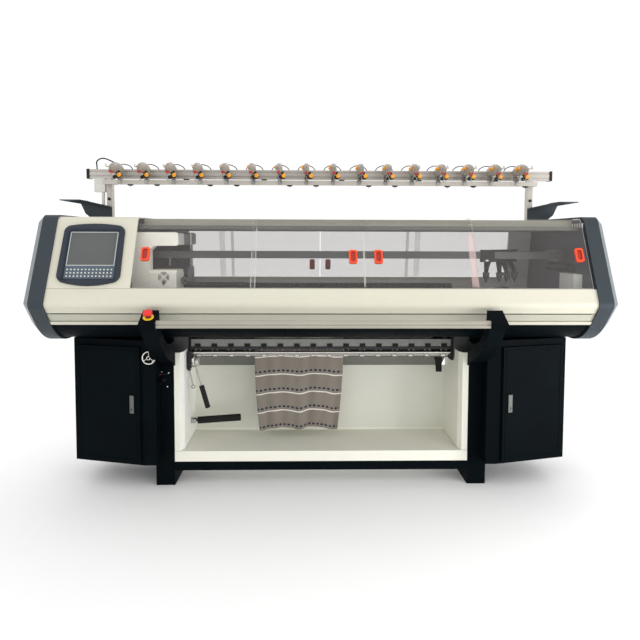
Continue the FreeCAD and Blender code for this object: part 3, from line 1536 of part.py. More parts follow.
def cam_box():
    """Front cam box: its underside follows the needle bed, its face has the fan vent and a knob hole."""
    cam_box_right_x = carriage_column_x + cam_box_length
    cam_box_top_z = carrier_rail_bottom_z - cam_box_rail_gap
    cam_box_bottom_z = bed_apex_z - cam_box_drop
    front = carriage_front_y
    inner = cam_box_inner_y
    slope_rise = bed_apex_z - bed_front_y + cam_clearance
    section = [
        (inner, slope_rise + inner), (cam_box_bottom_z - slope_rise, cam_box_bottom_z),
        (front, cam_box_bottom_z), (front, cam_box_top_z - cam_box_edge),
        (front + cam_box_edge, cam_box_top_z),
        (inner - cam_box_back_edge, cam_box_top_z), (inner, cam_box_top_z - cam_box_back_edge),
    ]
    solid = prism(section, in_yz(carriage_column_x), V(cam_box_right_x - carriage_column_x, 0, 0))
    vent_x = (carriage_column_x + cam_box_right_x) / 2.0 + cam_vent_shift
    vent = V(vent_x, front, cam_box_top_z - cam_vent_drop)
    reach = V(0, cam_vent_depth, 0)
    ring = facetted_rod(vent - reach, vent + reach, cam_vent_radius, 16)
    core = facetted_rod(vent - reach * 2, vent + reach * 2, cam_vent_core, 12)
    ring = ring.cut(core)
    for angle in (45, -45):
        bar_cut = box(vent.x - 2 * cam_vent_radius, vent.x + 2 * cam_vent_radius, front - 2 * cam_vent_depth,
                      front + 2 * cam_vent_depth, vent.z - cam_vent_bar / 2, vent.z + cam_vent_bar / 2)
        bar_cut.rotate(vent, ALONG_Y, angle)
        ring = ring.cut(bar_cut)
    knob = vent - V(0, 0, cam_knob_drop)
    hole = facetted_rod(knob - V(0, 1, 0), knob + V(0, cam_knob_depth, 0), cam_knob_radius, 8)
    return solid.cut([ring, hole])


save("carriage_bridge", carriage_bridge())
front_cam_box = cam_box()
save("carriage_cam_boxes", [front_cam_box, across_beds(front_cam_box)])


# ---------------------------------------------------------------- yarn carriers
def yarn_carrier(index):
    """Slide that grips a rail, with a cranked arm and a pointed foot over the needle bed's gap."""
    x = wall_x - carrier_from_wall[index]
    y = carrier_rail_y[index]
    half = carrier_width / 2.0
    slot_half = carrier_rail_width / 2.0 + carrier_rail_gap
    half_y = slot_half + carrier_cheek
    low = carrier_rail_bottom_z - carrier_under_rail
    high = carrier_rail_top_z + carrier_over_rail
    outer = box(x - half, x + half, y - half_y, y + half_y, low, high)
    slot = box(x - half - 1, x + half + 1, y - slot_half, y + slot_half,
               carrier_rail_bottom_z - carrier_rail_gap, carrier_rail_top_z + carrier_rail_gap)
    mouth = box(x - half - 1, x + half + 1, y - slot_half + carrier_lip, y + slot_half - carrier_lip,
                low - 1, carrier_rail_bottom_z)
    notch = box(x - carrier_notch_half, x + carrier_notch_half, y - half_y - 1, y + half_y + 1,
                low - 1, low + carrier_notch_half)
    body = outer.cut([slot, mouth, notch])
    tip_x = x + carrier_arm_shift
    tip_y = bed_centre_y + carrier_tip_pitch * (index - (carrier_rails - 1) / 2.0)
    tip_z = bed_apex_z + carrier_tip_gap
    arm_top = low + carrier_arm_lap
    foot_z = tip_z + carrier_foot_height
    knee_z = tip_z + carrier_knee_rise
    half_t = carrier_arm_thickness / 2.0
    cheek_y = y - half_y if index < carrier_rails / 2 else y + slot_half
    arm_face = [
        (cheek_y, arm_top), (cheek_y, low), (tip_y - half_t, knee_z), (tip_y - half_t, foot_z),
        (tip_y + half_t, foot_z), (tip_y + half_t, knee_z + half_t), (cheek_y + carrier_cheek, low),
        (cheek_y + carrier_cheek, arm_top),
    ]
    arm = prism(arm_face, in_yz(tip_x - carrier_arm_width / 2), V(carrier_arm_width, 0, 0))
    foot_half = carrier_foot_half
    tip_half = carrier_tip_half
    shoulder_half = carrier_shoulder_half
    shoulder_z = tip_z + carrier_shoulder_rise
    foot_face = [
        (tip_x - foot_half, foot_z), (tip_x - shoulder_half, shoulder_z), (tip_x - tip_half, tip_z),
        (tip_x + tip_half, tip_z), (tip_x + shoulder_half, shoulder_z), (tip_x + foot_half, foot_z),
    ]
    foot = prism(foot_face, in_xz(tip_y - half_t), V(0, carrier_arm_thickness, 0))
    return fused([body, arm, foot])


for index in range(carrier_rails):
    save("yarn_carrier_%d" % (index + 1), yarn_carrier(index))

# ---------------------------------------------------------------- takedown
roller_z = body_bottom_z - roller_drop
main_roller_y = bed_centre_y + nip_gap + main_roller_radius
press_roller_y = bed_centre_y - nip_gap - press_roller_radius
end_plate_x = panel_x - end_plate_from_panel
end_plate_out_x = end_plate_x + end_plate_thickness
frame_top_z = body_bottom_z + pan_inset
strip_top_z = body_bottom_z - strip_top_drop
strip_bottom_z = strip_top_z - strip_height
square_shaft_z = body_bottom_z - square_shaft_drop
round_shaft_z = body_bottom_z - round_shaft_drop


def end_plate():
    plate = box(end_plate_x, end_plate_out_x, end_plate_front_y, end_plate_rear_y,
                body_bottom_z - end_plate_drop, frame_top_z)
    bores = []
    for y, radius in ((main_roller_y, journal_radius), (press_roller_y, press_rod_radius)):
        bores.append(rod(V(end_plate_x - 1, y, roller_z), V(end_plate_out_x + 1, y, roller_z),
                         radius + running_fit))
    return plate.cut(bores)


main_roller_half = end_plate_x - roller_end_gap
main_roller = rod(V(-main_roller_half, main_roller_y, roller_z), V(main_roller_half, main_roller_y, roller_z),
                  main_roller_radius)
main_journal = rod(V(-end_plate_out_x, main_roller_y, roller_z), V(end_plate_out_x, main_roller_y, roller_z),
                   journal_radius)
save("main_takedown_roller", fused([main_roller, main_journal]))

takedown_pitch = 2.0 * (end_plate_x - takedown_end_margin) / (takedown_count - 1)
takedown_x = [takedown_pitch * (i - (takedown_count - 1) / 2.0) for i in range(takedown_count)]
press_parts = [facetted_rod(V(-main_roller_half, press_roller_y, roller_z),
                            V(main_roller_half, press_roller_y, roller_z), press_rod_radius, 6)]
for side in (-1, 1):
    press_parts.append(rod(V(side * main_roller_half, press_roller_y, roller_z),
                           V(side * end_plate_out_x, press_roller_y, roller_z), press_rod_radius))
for x in takedown_x:
    press_parts.append(facetted_rod(V(x - press_roller_half, press_roller_y, roller_z),
                                    V(x + press_roller_half, press_roller_y, roller_z),
                                    press_roller_radius, 10))
save("press_rollers", fused(press_parts))

strip_path = [
    (strip_front_y, strip_bottom_z),
    (strip_front_y, strip_top_z + strip_wall),
    (strip_front_y + strip_flange, strip_top_z + strip_wall),
]
strip = folded_sheet(strip_path, -strip_wall, in_yz(-end_plate_x), V(2 * end_plate_x, 0, 0))
square_shaft = box(-end_plate_x, end_plate_x,
                   square_shaft_y - square_shaft_half, square_shaft_y + square_shaft_half,
                   square_shaft_z - square_shaft_half, square_shaft_z + square_shaft_half)
round_shaft = rod(V(-end_plate_x, round_shaft_y, round_shaft_z), V(end_plate_x, round_shaft_y, round_shaft_z),
                  round_shaft_radius)
deflector_y = bed_centre_y + deflector_from_bed
deflector_z = body_bottom_z - deflector_drop
deflector_path = [
    (deflector_y, frame_top_z),
    (deflector_y, deflector_z),
    (back_panel_y - sheet_wall, back_panel_top_z),
]
deflector = folded_sheet(deflector_path, sheet_wall, in_yz(-end_plate_x), V(2 * end_plate_x, 0, 0))
hook_right_x = end_plate_x - hook_plate_from_end
hook_left_x = hook_right_x - hook_plate_width
hook_foot_x = hook_right_x - hook_plate_foot
hook_low_z = body_bottom_z - hook_plate_drop
hook_step_z = hook_low_z + hook_plate_step
hook_corners = [
    (hook_left_x, frame_top_z), (hook_left_x, hook_step_z + hook_plate_foot),
    ((hook_left_x + hook_foot_x) / 2 + hook_plate_gap / 2, hook_step_z),
    (hook_foot_x, hook_low_z), (hook_right_x, hook_low_z), (hook_right_x, frame_top_z),
]
hook_plate = prism(hook_corners, in_xz(deflector_y - hook_plate_gap), V(0, hook_plate_thickness, 0))
right_plate = end_plate()
save("takedown_frame", [strip, right_plate, mirrored(right_plate), square_shaft, round_shaft, deflector,
                        hook_plate])


def takedown_bracket(x):
    """Hook round the strip, and two cheeks behind the shafts that press on the rollers' rod."""
    gap = bracket_gap
    strip_back_y = strip_front_y + strip_wall
    block_back_y = strip_back_y + bracket_depth
    block_bottom_z = square_shaft_z + square_shaft_half + gap
    hook_y = strip_front_y - gap
    hook_top_z = strip_bottom_z + bracket_hook_height
    hook_path = [
        (hook_y - bracket_hook, hook_top_z), (hook_y - bracket_hook, block_bottom_z),
        (block_back_y, block_bottom_z), (block_back_y, hook_top_z),
        (strip_back_y + gap, hook_top_z), (strip_back_y + gap, strip_bottom_z - gap),
        (hook_y, strip_bottom_z - gap), (hook_y, hook_top_z),
    ]
    parts = [prism(hook_path, in_yz(x - bracket_half), V(2 * bracket_half, 0, 0))]
    front_y = square_shaft_y + square_shaft_half + 2 * gap
    back_y = press_roller_y - press_rod_radius - gap
    cheek_face = [
        (front_y, block_bottom_z + gap), (front_y, roller_z + press_rod_radius),
        (press_roller_y - press_roller_radius, roller_z - press_roller_radius),
        (back_y, roller_z - press_roller_radius), (back_y, roller_z + press_roller_radius),
        (block_back_y, block_bottom_z + gap),
    ]
    for low in (x - bracket_half, x + bracket_half - bracket_cheek):
        parts.append(prism(cheek_face, in_yz(low), V(bracket_cheek, 0, 0)))
    return fused(parts)


save("takedown_brackets", [takedown_bracket(x) for x in takedown_x])


# ---------------------------------------------------------------- takedown levers
def hub_with_bore(y, z, end_x, radius):
    hub = facetted_rod(V(-panel_x + hub_side_gap, y, z), V(end_x, y, z), radius, 12)
    bore = rod(V(-panel_x, y, z), V(end_x + 1, y, z), hub_pin_radius + running_fit)
    return hub, bore


def release_lever():
    """Bent steel rod with a straight grip, swinging on the upper pin of the left side panel."""
    y = lever_hub_y
    hub, bore = hub_with_bore(y, lever_hub_z, hub_pin_end_x, lever_hub_radius)
    start = V(-panel_x + lever_rod_from_panel, y, lever_hub_z - lever_rod_drop)
    elbow = V(start.x + lever_elbow_x, y, lever_hub_z - lever_elbow_drop)
    end = V(start.x + lever_end_x, y, lever_hub_z - lever_end_drop)
    along = (end - elbow).normalize()
    grip = facetted_rod(end, end + along * lever_grip_length, lever_grip_radius, 10)
    wire = bent_bar([start, elbow, end + along * lever_grip_radius], lever_rod_radius, 8)
    return fused([hub, wire, grip]).cut(bore)


def ring_lever():
    """Thin rod with a pull ring at its end, on the lower pin."""
    y = ring_hub_y
    hub, bore = hub_with_bore(y, ring_hub_z, ring_pin_end_x, ring_hub_radius)
    start = V(-panel_x + ring_rod_from_panel, y, ring_hub_z - ring_rod_drop)
    centre = V(-panel_x + ring_rod_from_panel + ring_swing, y, ring_hub_z - ring_drop)
    along = (centre - start).normalize()
    wire = facetted_rod(start, centre - along * (ring_hole_radius + ring_radius) * 0.5, lever_rod_radius, 8)
    half = V(0, ring_thickness / 2.0, 0)
    ring = facetted_rod(centre - half, centre + half, ring_radius, 12)
    ring = ring.cut(facetted_rod(centre - half * 2, centre + half * 2, ring_hole_radius, 8))
    return fused([hub, wire, ring]).cut(bore)


def grip_lever():
    """Black grip that swings up and down in the clevis."""
    tilt = math.radians(grip_tilt_deg)
    start = V(grip_pivot_x, grip_pivot_y, grip_pivot_z)
    along = V(math.cos(tilt), 0, math.sin(tilt))
    eye_half = V(0, grip_eye_half, 0)
    eye = facetted_rod(start - eye_half, start + eye_half, grip_eye_radius, 12)
    stalk = facetted_rod(start, start + along * (2 * grip_start), grip_stalk_radius, 6)
    grip = facetted_rod(start + along * grip_start, start + along * (grip_start + grip_length),
                        grip_radius, 12)
    bore = rod(start - eye_half * 2, start + eye_half * 2, hub_pin_radius + running_fit)
    return fused([eye, stalk, grip]).cut(bore)


save("release_lever", release_lever())
save("ring_lever", ring_lever())
save("grip_lever", grip_lever())

# ---------------------------------------------------------------- knitted fabric
fabric_top_z = bed_apex_z - fabric_top_drop
fabric_free_z = roller_z - fabric_free_drop


def fold_swing(across, down):
    """How far the hanging cloth swings forwards or back, by its shares across and down."""
    wide = math.sin(2.0 * math.pi * fabric_wide_folds * across + 0.9 * down + 0.6)
    narrow = math.sin(2.0 * math.pi * fabric_narrow_folds * across - 1.4 * down + 2.1)
    return fabric_fold_depth * math.sin(0.5 * math.pi * min(1.0, 1.25 * down)) * (0.62 * wide + 0.38 * narrow)


def fabric_rows():
    """Front and back points of the cloth, row by row from its top to the hem."""
    half = fabric_thickness / 2.0
    rows = []
    levels = [(fabric_top_z, 0.0)]
    for i in range(fabric_levels + 1):
        share = i / float(fabric_levels)
        levels.append((fabric_free_z + (fabric_hem_z - fabric_free_z) * share, share))
    for z, down in levels:
        left = fabric_left_x + (fabric_hem_left_x - fabric_left_x) * down
        right = fabric_right_x + (fabric_hem_right_x - fabric_right_x) * down
        front = []
        back = []
        for i in range(fabric_columns + 1):
            across = i / float(fabric_columns)
            x = left + (right - left) * across
            y = bed_centre_y + fold_swing(across, down)
            front.append(V(x, y - half, z))
            back.append(V(x, y + half, z))
        rows.append((front, back))
    return rows


def two_triangles(a, b, c, d):
    return [Part.Face(Part.makePolygon([a, b, c, a])), Part.Face(Part.makePolygon([a, c, d, a]))]


def knitted_fabric():
    rows = fabric_rows()
    faces = []
    for r in range(len(rows) - 1):
        front, back = rows[r]
        front_low, back_low = rows[r + 1]
        for i in range(fabric_columns):
            faces.extend(two_triangles(front_low[i], front_low[i + 1], front[i + 1], front[i]))
            faces.extend(two_triangles(back_low[i + 1], back_low[i], back[i], back[i + 1]))
        faces.extend(two_triangles(back_low[0], front_low[0], front[0], back[0]))
        faces.extend(two_triangles(front_low[-1], back_low[-1], back[-1], front[-1]))
    for i in range(fabric_columns):
        top_front, top_back = rows[0]
        hem_front, hem_back = rows[-1]
        faces.extend(two_triangles(top_front[i], top_front[i + 1], top_back[i + 1], top_back[i]))
        faces.extend(two_triangles(hem_back[i], hem_back[i + 1], hem_front[i + 1], hem_front[i]))
    shell = Part.Shell(faces)
    shell.sewShape()
    return Part.Solid(shell)


save("knitted_fabric", knitted_fabric())

# ---------------------------------------------------------------- yarn feeder frame
half_beam = beam_thickness / 2.0
half_channel = channel_depth / 2.0
beam_half_length = body_half_length - frame_beam_shorter
beam_bottom_z = body_top_z + beam_rise
beam_top_z = beam_bottom_z + beam_height
channel_half_length = beam_half_length - channel_shorter
channel_y = beam_y - channel_step_y
channel_top_z = beam_bottom_z - channel_gap
channel_bottom_z = channel_top_z - channel_height
post_x = beam_half_length - post_from_end
post_inner_x = post_x - post_width / 2
post_outer_x = post_x + post_width / 2
bracket_shelf_x = body_half_length - bracket_from_end
bracket_shelf_z = body_top_z + bracket_rise
control_top_z = body_top_z - cover_inset

beam_grooves = []
for z in (beam_bottom_z + beam_groove_margin, beam_top_z - beam_groove_margin):
    beam_grooves.append(box(-beam_half_length - 1, beam_half_length + 1, beam_y - half_beam - 1,
                            beam_y - half_beam + beam_groove_depth, z - beam_groove / 2, z + beam_groove / 2))
main_beam = box(-beam_half_length, beam_half_length, beam_y - half_beam, beam_y + half_beam,
                beam_bottom_z, beam_top_z).cut(beam_grooves)
channel = box(-channel_half_length, channel_half_length, channel_y - half_channel, channel_y + half_channel,
              channel_bottom_z, channel_top_z)
channel = channel.cut(box(-channel_half_length - 1, channel_half_length + 1,
                          channel_y - half_channel + channel_wall, channel_y + half_channel - channel_wall,
                          channel_bottom_z + channel_wall, channel_top_z + 1))
frame_solids = [main_beam, channel]
for side, foot_z in ((-1, control_top_z), (1, cover_high_z)):
    x_from, x_to = sorted((side * post_inner_x, side * post_outer_x))
    frame_solids.append(box(x_from, x_to, beam_y - half_beam, beam_y + half_beam, foot_z, beam_bottom_z))
    x_from, x_to = sorted((side * channel_half_length, side * post_outer_x))
    frame_solids.append(box(x_from, x_to, channel_y - half_channel, beam_y - half_beam,
                            channel_bottom_z, channel_top_z))
save("feeder_frame", frame_solids)


def table_bracket(foot_z):
    """Right bracket: a plate standing on the cover, with a shelf flange that carries the side table."""
    plate_y = beam_y - half_beam - bracket_wall
    knee = (bracket_shelf_x - bracket_knee, body_top_z + bracket_knee_rise)
    low_z = bracket_shelf_z - bracket_fall
    plate = prism([(post_inner_x, foot_z), (wall_x, foot_z), (cap_inner_x - bracket_foot_gap, body_top_z + 1),
                   knee, (bracket_shelf_x, bracket_shelf_z), (post_inner_x, low_z)],
                  in_xz(plate_y), V(0, bracket_wall, 0))
    shelf_end_x = bracket_shelf_x + bracket_shelf_width
    shelf = box(bracket_shelf_x, shelf_end_x,
                beam_y - bracket_shelf_depth / 2, beam_y + bracket_shelf_depth / 2,
                bracket_shelf_z, bracket_shelf_z + bracket_wall)
    rib = prism([knee, (bracket_shelf_x + bracket_rib_reach, bracket_shelf_z - bracket_rib_drop),
                 (shelf_end_x, bracket_shelf_z), (bracket_shelf_x - bracket_rib_reach, bracket_shelf_z)],
                in_xz(plate_y), V(0, bracket_wall, 0))
    edge = prism([(post_inner_x, low_z), (bracket_shelf_x, bracket_shelf_z),
                  (bracket_shelf_x, bracket_shelf_z + bracket_wall), (post_inner_x, low_z + bracket_wall)],
                 in_xz(plate_y - bracket_edge), V(0, bracket_edge + bracket_wall, 0))
    holes = []
    for y in (beam_y - bracket_hole_spacing / 2, beam_y + bracket_hole_spacing / 2):
        x = bracket_shelf_x + bracket_shelf_width / 2
        holes.append(rod(V(x, y, bracket_shelf_z - 1), V(x, y, bracket_shelf_z + bracket_wall + 1),
                         bracket_hole_radius))
    return fused([plate, rib, edge, shelf]).cut(holes)


save("table_brackets", [mirrored(table_bracket(control_top_z)), table_bracket(cover_high_z)])

junction_right_x = -post_outer_x - junction_gap
junction_bottom_z = beam_bottom_z - junction_height
junction = box(junction_right_x - junction_width, junction_right_x, beam_y - half_beam,
               beam_y - half_beam + junction_depth, junction_bottom_z, beam_bottom_z)
conduit_x = junction_right_x - junction_width / 4
conduit_y = beam_y - half_beam + junction_depth / 2
conduit = facetted_rod(V(conduit_x, conduit_y, control_top_z), V(conduit_x, conduit_y, junction_bottom_z),
                       junction_conduit_radius, 10)
wall_box = box(wall_x - wall_box_depth, wall_x, wall_box_front_y, wall_box_front_y + wall_box_length,
               bed_apex_z - wall_box_drop, bed_apex_z - wall_box_drop + wall_box_height)
save("electrical_boxes", [fused([junction, conduit]), wall_box])

# ---------------------------------------------------------------- yarn tensioners
tensioner_bottom_z = channel_top_z + tensioner_rise
tensioner_rear_y = tensioner_front_y + tensioner_length
tensioner_half = tensioner_width / 2.0
tensioner_pitch = 2.0 * (channel_half_length - tensioner_end_margin) / (tensioner_count - 1)
tensioner_x = []
for i in range(tensioner_count):
    tensioner_x.append(tensioner_centre_x + tensioner_pitch * (i - (tensioner_count - 1) / 2.0))
dial_x = tensioner_half + dial_side_gap
dial_foot = V(dial_x, dial_foot_y, tensioner_bottom_z - dial_foot_drop)
dial_seat = V(dial_x, dial_seat_y, tensioner_bottom_z - dial_seat_drop)
dial_face = dial_seat + (dial_seat - dial_foot).normalize() * dial_depth


def crown_profile(lower):
    """Closed outline of the shell from the side, its curved top lowered by an amount."""
    low = tensioner_bottom_z
    curve = arc_points((tensioner_front_y, low + tensioner_nose),
                       (tensioner_crown_y, low + tensioner_crown),
                       (tensioner_rear_y, low + tensioner_tail), 6)
    points = [(y, z - lower * min(1.0, (z - low) / tensioner_crown)) for y, z in curve]
    return points + [(tensioner_rear_y, low), (tensioner_front_y, low)]


def tensioner_housing(x):
    """Curved shell that points forwards, on a clamp leg that stands on the channel."""
    sections = []
    for offset, lower in ((-tensioner_half, tensioner_chamfer), (tensioner_chamfer - tensioner_half, 0.0),
                          (tensioner_half - tensioner_chamfer, 0.0), (tensioner_half, tensioner_chamfer)):
        sections.append(rounded_wire(crown_profile(lower), None, in_yz(x + offset)))
    shell = Part.makeLoft(sections, True, True)
    leg_front_edge = channel_y - half_channel
    leg_block = box(x - tensioner_leg_half, x + tensioner_leg_half, leg_front_edge,
                    leg_front_edge + tensioner_leg_depth, channel_top_z, tensioner_bottom_z)
    return fused([shell, leg_block])


def tensioner_discs(x):
    """Orange tension discs on the left side, the dial on the right and the lamp below the nose."""
    side_x = x - tensioner_half
    z = tensioner_bottom_z + knob_rise
    discs = []
    for y in (knob_first_y, knob_first_y + knob_pitch):
        discs.append(facetted_rod(V(side_x - knob_depth, y, z), V(side_x, y, z), knob_radius, 8))
    across = V(x, 0, 0)
    discs.append(facetted_rod(across + dial_seat, across + dial_face, dial_radius, 8))
    discs.append(box(x - lamp_half, x + lamp_half, lamp_front_y, lamp_front_y + lamp_length,
                     tensioner_bottom_z - lamp_height, tensioner_bottom_z))
    return discs


def tensioner_arm(x):
    """Steel guide wire with an eyelet, in front of the nose."""
    start = V(x, tensioner_front_y, tensioner_bottom_z + arm_height)
    eye = V(x, tensioner_front_y - arm_reach, tensioner_bottom_z + arm_height + arm_slope)
    along = (eye - start).normalize()
    wire = facetted_rod(start, eye - along * (eyelet_hole + eyelet_radius) * 0.5, arm_radius, 4)
    half = V(eyelet_thickness / 2.0, 0, 0)
    ring = facetted_rod(eye - half, eye + half, eyelet_radius, 6)
    return fused([wire, ring.cut(facetted_rod(eye - half * 2, eye + half * 2, eyelet_hole, 6))])


save("tensioner_housings", [tensioner_housing(x) for x in tensioner_x])
disc_solids = []
for x in tensioner_x:
    disc_solids.extend(tensioner_discs(x))
save("tensioner_discs", disc_solids)
save("tensioner_arms", [tensioner_arm(x) for x in tensioner_x])


def yarn_guides():
    """Black cups behind the dials, the dish guides below the rails and the beam's end plates."""
    solids = []
    for i, x in enumerate(tensioner_x):
        across = V(x, 0, 0)
        cup = facetted_rod(across + dial_foot, across + dial_seat, cup_radius, 8)
        stalk = box(x + tensioner_half - cup_stalk_lap, x + dial_x, dial_foot_y - cup_stalk, dial_foot_y,
                    tensioner_bottom_z - cup_stalk_drop, tensioner_bottom_z)
        solids.append(fused([cup, stalk]))
        on_beam = i % 3 == 2
        top = V(x + tensioner_pitch / 2.0 + dish_shift, beam_y if on_beam else channel_y,
                beam_bottom_z if on_beam else channel_bottom_z)
        low = top - V(0, 0, dish_height)
        solids.append(facetted_stack([polygon_round(low, ALONG_Z, dish_low_radius, 8),
                                      polygon_round(top, ALONG_Z, dish_radius, 8)]))
    for side in (-1, 1):
        x_from, x_to = sorted((side * beam_half_length, side * (beam_half_length + beam_cap)))
        solids.append(box(x_from, x_to,
                          beam_y - half_beam - beam_cap_proud, beam_y + half_beam + beam_cap_proud,
                          beam_bottom_z - beam_cap_proud, beam_top_z + beam_cap_proud))
    return solids


save("yarn_guides", yarn_guides())

# ---------------------------------------------------------------- cable conduits
bed_conduit_y = bed_centre_y - conduit_from_bed
bed_conduit_z = bed_apex_z - bed_front_y + bed_conduit_y + conduit_radius * math.sqrt(2.0) + conduit_gap
bed_conduit = facetted_rod(V(-wall_x, bed_conduit_y, bed_conduit_z),
                           V(conduit_over_bed - bed_half_length, bed_conduit_y, bed_conduit_z),
                           conduit_radius, 12)
wall_conduit_x = wall_x - wall_conduit_radius
wall_conduit = facetted_rod(V(wall_conduit_x, wall_conduit_front_y, bed_apex_z + wall_conduit_front_rise),
                            V(wall_conduit_x, wall_conduit_rear_y, bed_apex_z + wall_conduit_rear_rise),
                            wall_conduit_radius, 12)
lead_points = []
for x_step, y_step, z_step in lead_route:
    lead_points.append(V(lead_from_beam_end - beam_half_length + x_step,
                         beam_y + y_step, beam_top_z + z_step))
lead_points.append(V(tensioner_x[0], lead_end_y, tensioner_bottom_z + tensioner_crown - lead_end_drop))
save("cable_conduits", [bed_conduit, wall_conduit, bent_bar(lead_points, lead_radius, 6)])
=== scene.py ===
"""Studio scene of a flat knitting machine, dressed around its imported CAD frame.

The order is: camera, light and floor, materials, materials of the CAD nodes, added pieces.
All lengths are in metres in the frame of the CAD model: X right, Y to the back, Z up.
"""
import math

import bmesh
import bpy
from mathutils import Matrix, Vector


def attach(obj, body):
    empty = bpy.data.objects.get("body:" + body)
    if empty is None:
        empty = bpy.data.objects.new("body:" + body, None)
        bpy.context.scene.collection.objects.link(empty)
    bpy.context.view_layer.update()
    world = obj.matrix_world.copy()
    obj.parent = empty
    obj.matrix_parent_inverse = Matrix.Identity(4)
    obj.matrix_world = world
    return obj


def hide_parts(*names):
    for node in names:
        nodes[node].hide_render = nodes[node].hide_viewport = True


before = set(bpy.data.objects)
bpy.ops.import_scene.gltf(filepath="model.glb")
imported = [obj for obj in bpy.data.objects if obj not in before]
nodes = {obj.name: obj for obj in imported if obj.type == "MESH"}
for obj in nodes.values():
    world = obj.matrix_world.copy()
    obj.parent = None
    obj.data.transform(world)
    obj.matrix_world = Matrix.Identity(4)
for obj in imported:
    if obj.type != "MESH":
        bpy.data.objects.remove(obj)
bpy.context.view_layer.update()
scene = bpy.context.scene
add_to_scene = scene.collection.objects.link

# camera, as the photograph was taken
camera_place = Vector((-0.0724, -2.982, 1.2149))
camera_yaw = 0.0211
camera_pitch = 0.0623
camera_roll = 0.0034
camera_lens = 33.75
camera_shift_y = -0.0708

to_front = (0, -1, 0)
downwards = (0, 0, -1)

# knitted fabric
fabric_y = 0.06
fabric_top_z = 0.962
fabric_hem_z = 0.229
fabric_left_top = -0.341
fabric_right_top = 0.118
fabric_left_hem = -0.316
fabric_right_hem = 0.083
fabric_thickness = 0.0022
stripe_first_z = 0.605
stripe_pitch = 0.0945
stripe_half_height = 0.003
dash_rise = 0.019
dash_count = 19
dash_half_width = 0.0078
dash_half_height = 0.0052
wale_pitch = 0.0034
course_pitch = 0.0026

# yarn tensioners: sixteen at one pitch along the beam, each with a dial that leans back
tensioner_places = [-0.01 + 0.137 * (index - 7.5) for index in range(16)]
dial_axis = Vector((0, -0.9656, -0.26)).normalized()

# lead from the beam's left end to the first tensioner: the route of the CAD solid
lead_points = [(-1.18, 0.229, 1.567), (-1.18, 0.229, 1.587), (-1.18, 0.216, 1.608),
               (-1.146, 0.203, 1.626), (-1.1, 0.196, 1.612), (-1.0375, 0.19, 1.578)]

# leaning front of the body, which carries the windows and the display
front_lean = math.radians(25.8)
nose_y = -0.39
nose_z = 0.916
window_handles = {"front_window_1": -0.8, "front_window_2": 0.136,
                  "front_window_3": 0.252, "front_window_4": 1.166}
handle_z = 1.141
display_x = -1.037
display_z = 1.1415

# needle beds: the gap between them, and the needles of each
bed_gap_y = 0.06
needle_count = 400

# yarn carriers, front to back: feet over the bed gap, heads on their own rails
carrier_feet_x = (0.837, 0.908, 0.946, 0.99)
carrier_first_y = 0.048
carrier_depth = 0.008
carrier_rail_pitch = 0.04
carrier_foot_z = 0.9875
carrier_head_z = 1.097
carrier_head_shift = -0.01


# ---- camera, light, floor

def place_camera():
    forward = Vector((math.sin(camera_yaw) * math.cos(camera_pitch),
                      math.cos(camera_yaw) * math.cos(camera_pitch),
                      -math.sin(camera_pitch)))
    level_right = Vector((math.cos(camera_yaw), -math.sin(camera_yaw), 0))
    level_up = level_right.cross(forward)
    right = level_right * math.cos(camera_roll) + level_up * math.sin(camera_roll)
    up = right.cross(forward)
    turn = Matrix((right, up, -forward)).transposed().to_4x4()
    data = bpy.data.cameras.new("photo_camera")
    data.sensor_width = 36.0
    data.lens = camera_lens
    data.shift_y = camera_shift_y
    data.clip_end = 100.0
    camera = bpy.data.objects.new("photo_camera", data)
    camera.matrix_world = Matrix.Translation(camera_place) @ turn
    add_to_scene(camera)
    scene.camera = camera


def soft_light(name, place, target, width, height, power):
    data = bpy.data.lights.new(name, "AREA")
    data.shape = "RECTANGLE"
    data.size = width
    data.size_y = height
    data.energy = power
    light = bpy.data.objects.new(name, data)
    light.location = place
    aim = Vector(target) - Vector(place)
    light.rotation_euler = aim.to_track_quat("-Z", "Y").to_euler()
    add_to_scene(light)


def studio():
    world = bpy.data.worlds.new("studio_air")
    scene.world = world
    world.use_nodes = True
    sky = world.node_tree.nodes["Background"]
    sky.inputs["Color"].default_value = (1.0, 1.0, 1.0, 1.0)
    sky.inputs["Strength"].default_value = 1.06
    soft_light("key_light", (-1.6, -4.2, 3.6), (0, 0, 0.8), 3.2, 2.2, 16)
    soft_light("fill_light", (2.4, -4.0, 2.2), (0, 0, 0.7), 2.6, 2.2, 12)
    soft_light("low_light", (2.5, -1.7, 0.52), (-0.7, 0.1, 0.42), 1.3, 0.8, 27)
    soft_light("back_light", (0, 4.2, 3.4), (0, 0, 0.9), 3.6, 2.0, 40)
    scene.view_settings.view_transform = "Standard"


def studio_floor():
    half_size = 12.0
    drop_below_feet = 0.0005
    mesh = bpy.data.meshes.new("studio_floor")
    form = bmesh.new()
    bmesh.ops.create_grid(form, x_segments=24, y_segments=24, size=half_size)
    form.to_mesh(mesh)
    form.free()
    floor = bpy.data.objects.new("studio_floor", mesh)
    floor.location.z = -drop_below_feet
    add_to_scene(floor)
    mesh.materials.append(surface("floor_white", (0.975, 0.975, 0.975), 0.85, 0.008,
                                  grain=40.0, relief=0.0002, specular=0.1))


# ---- materials

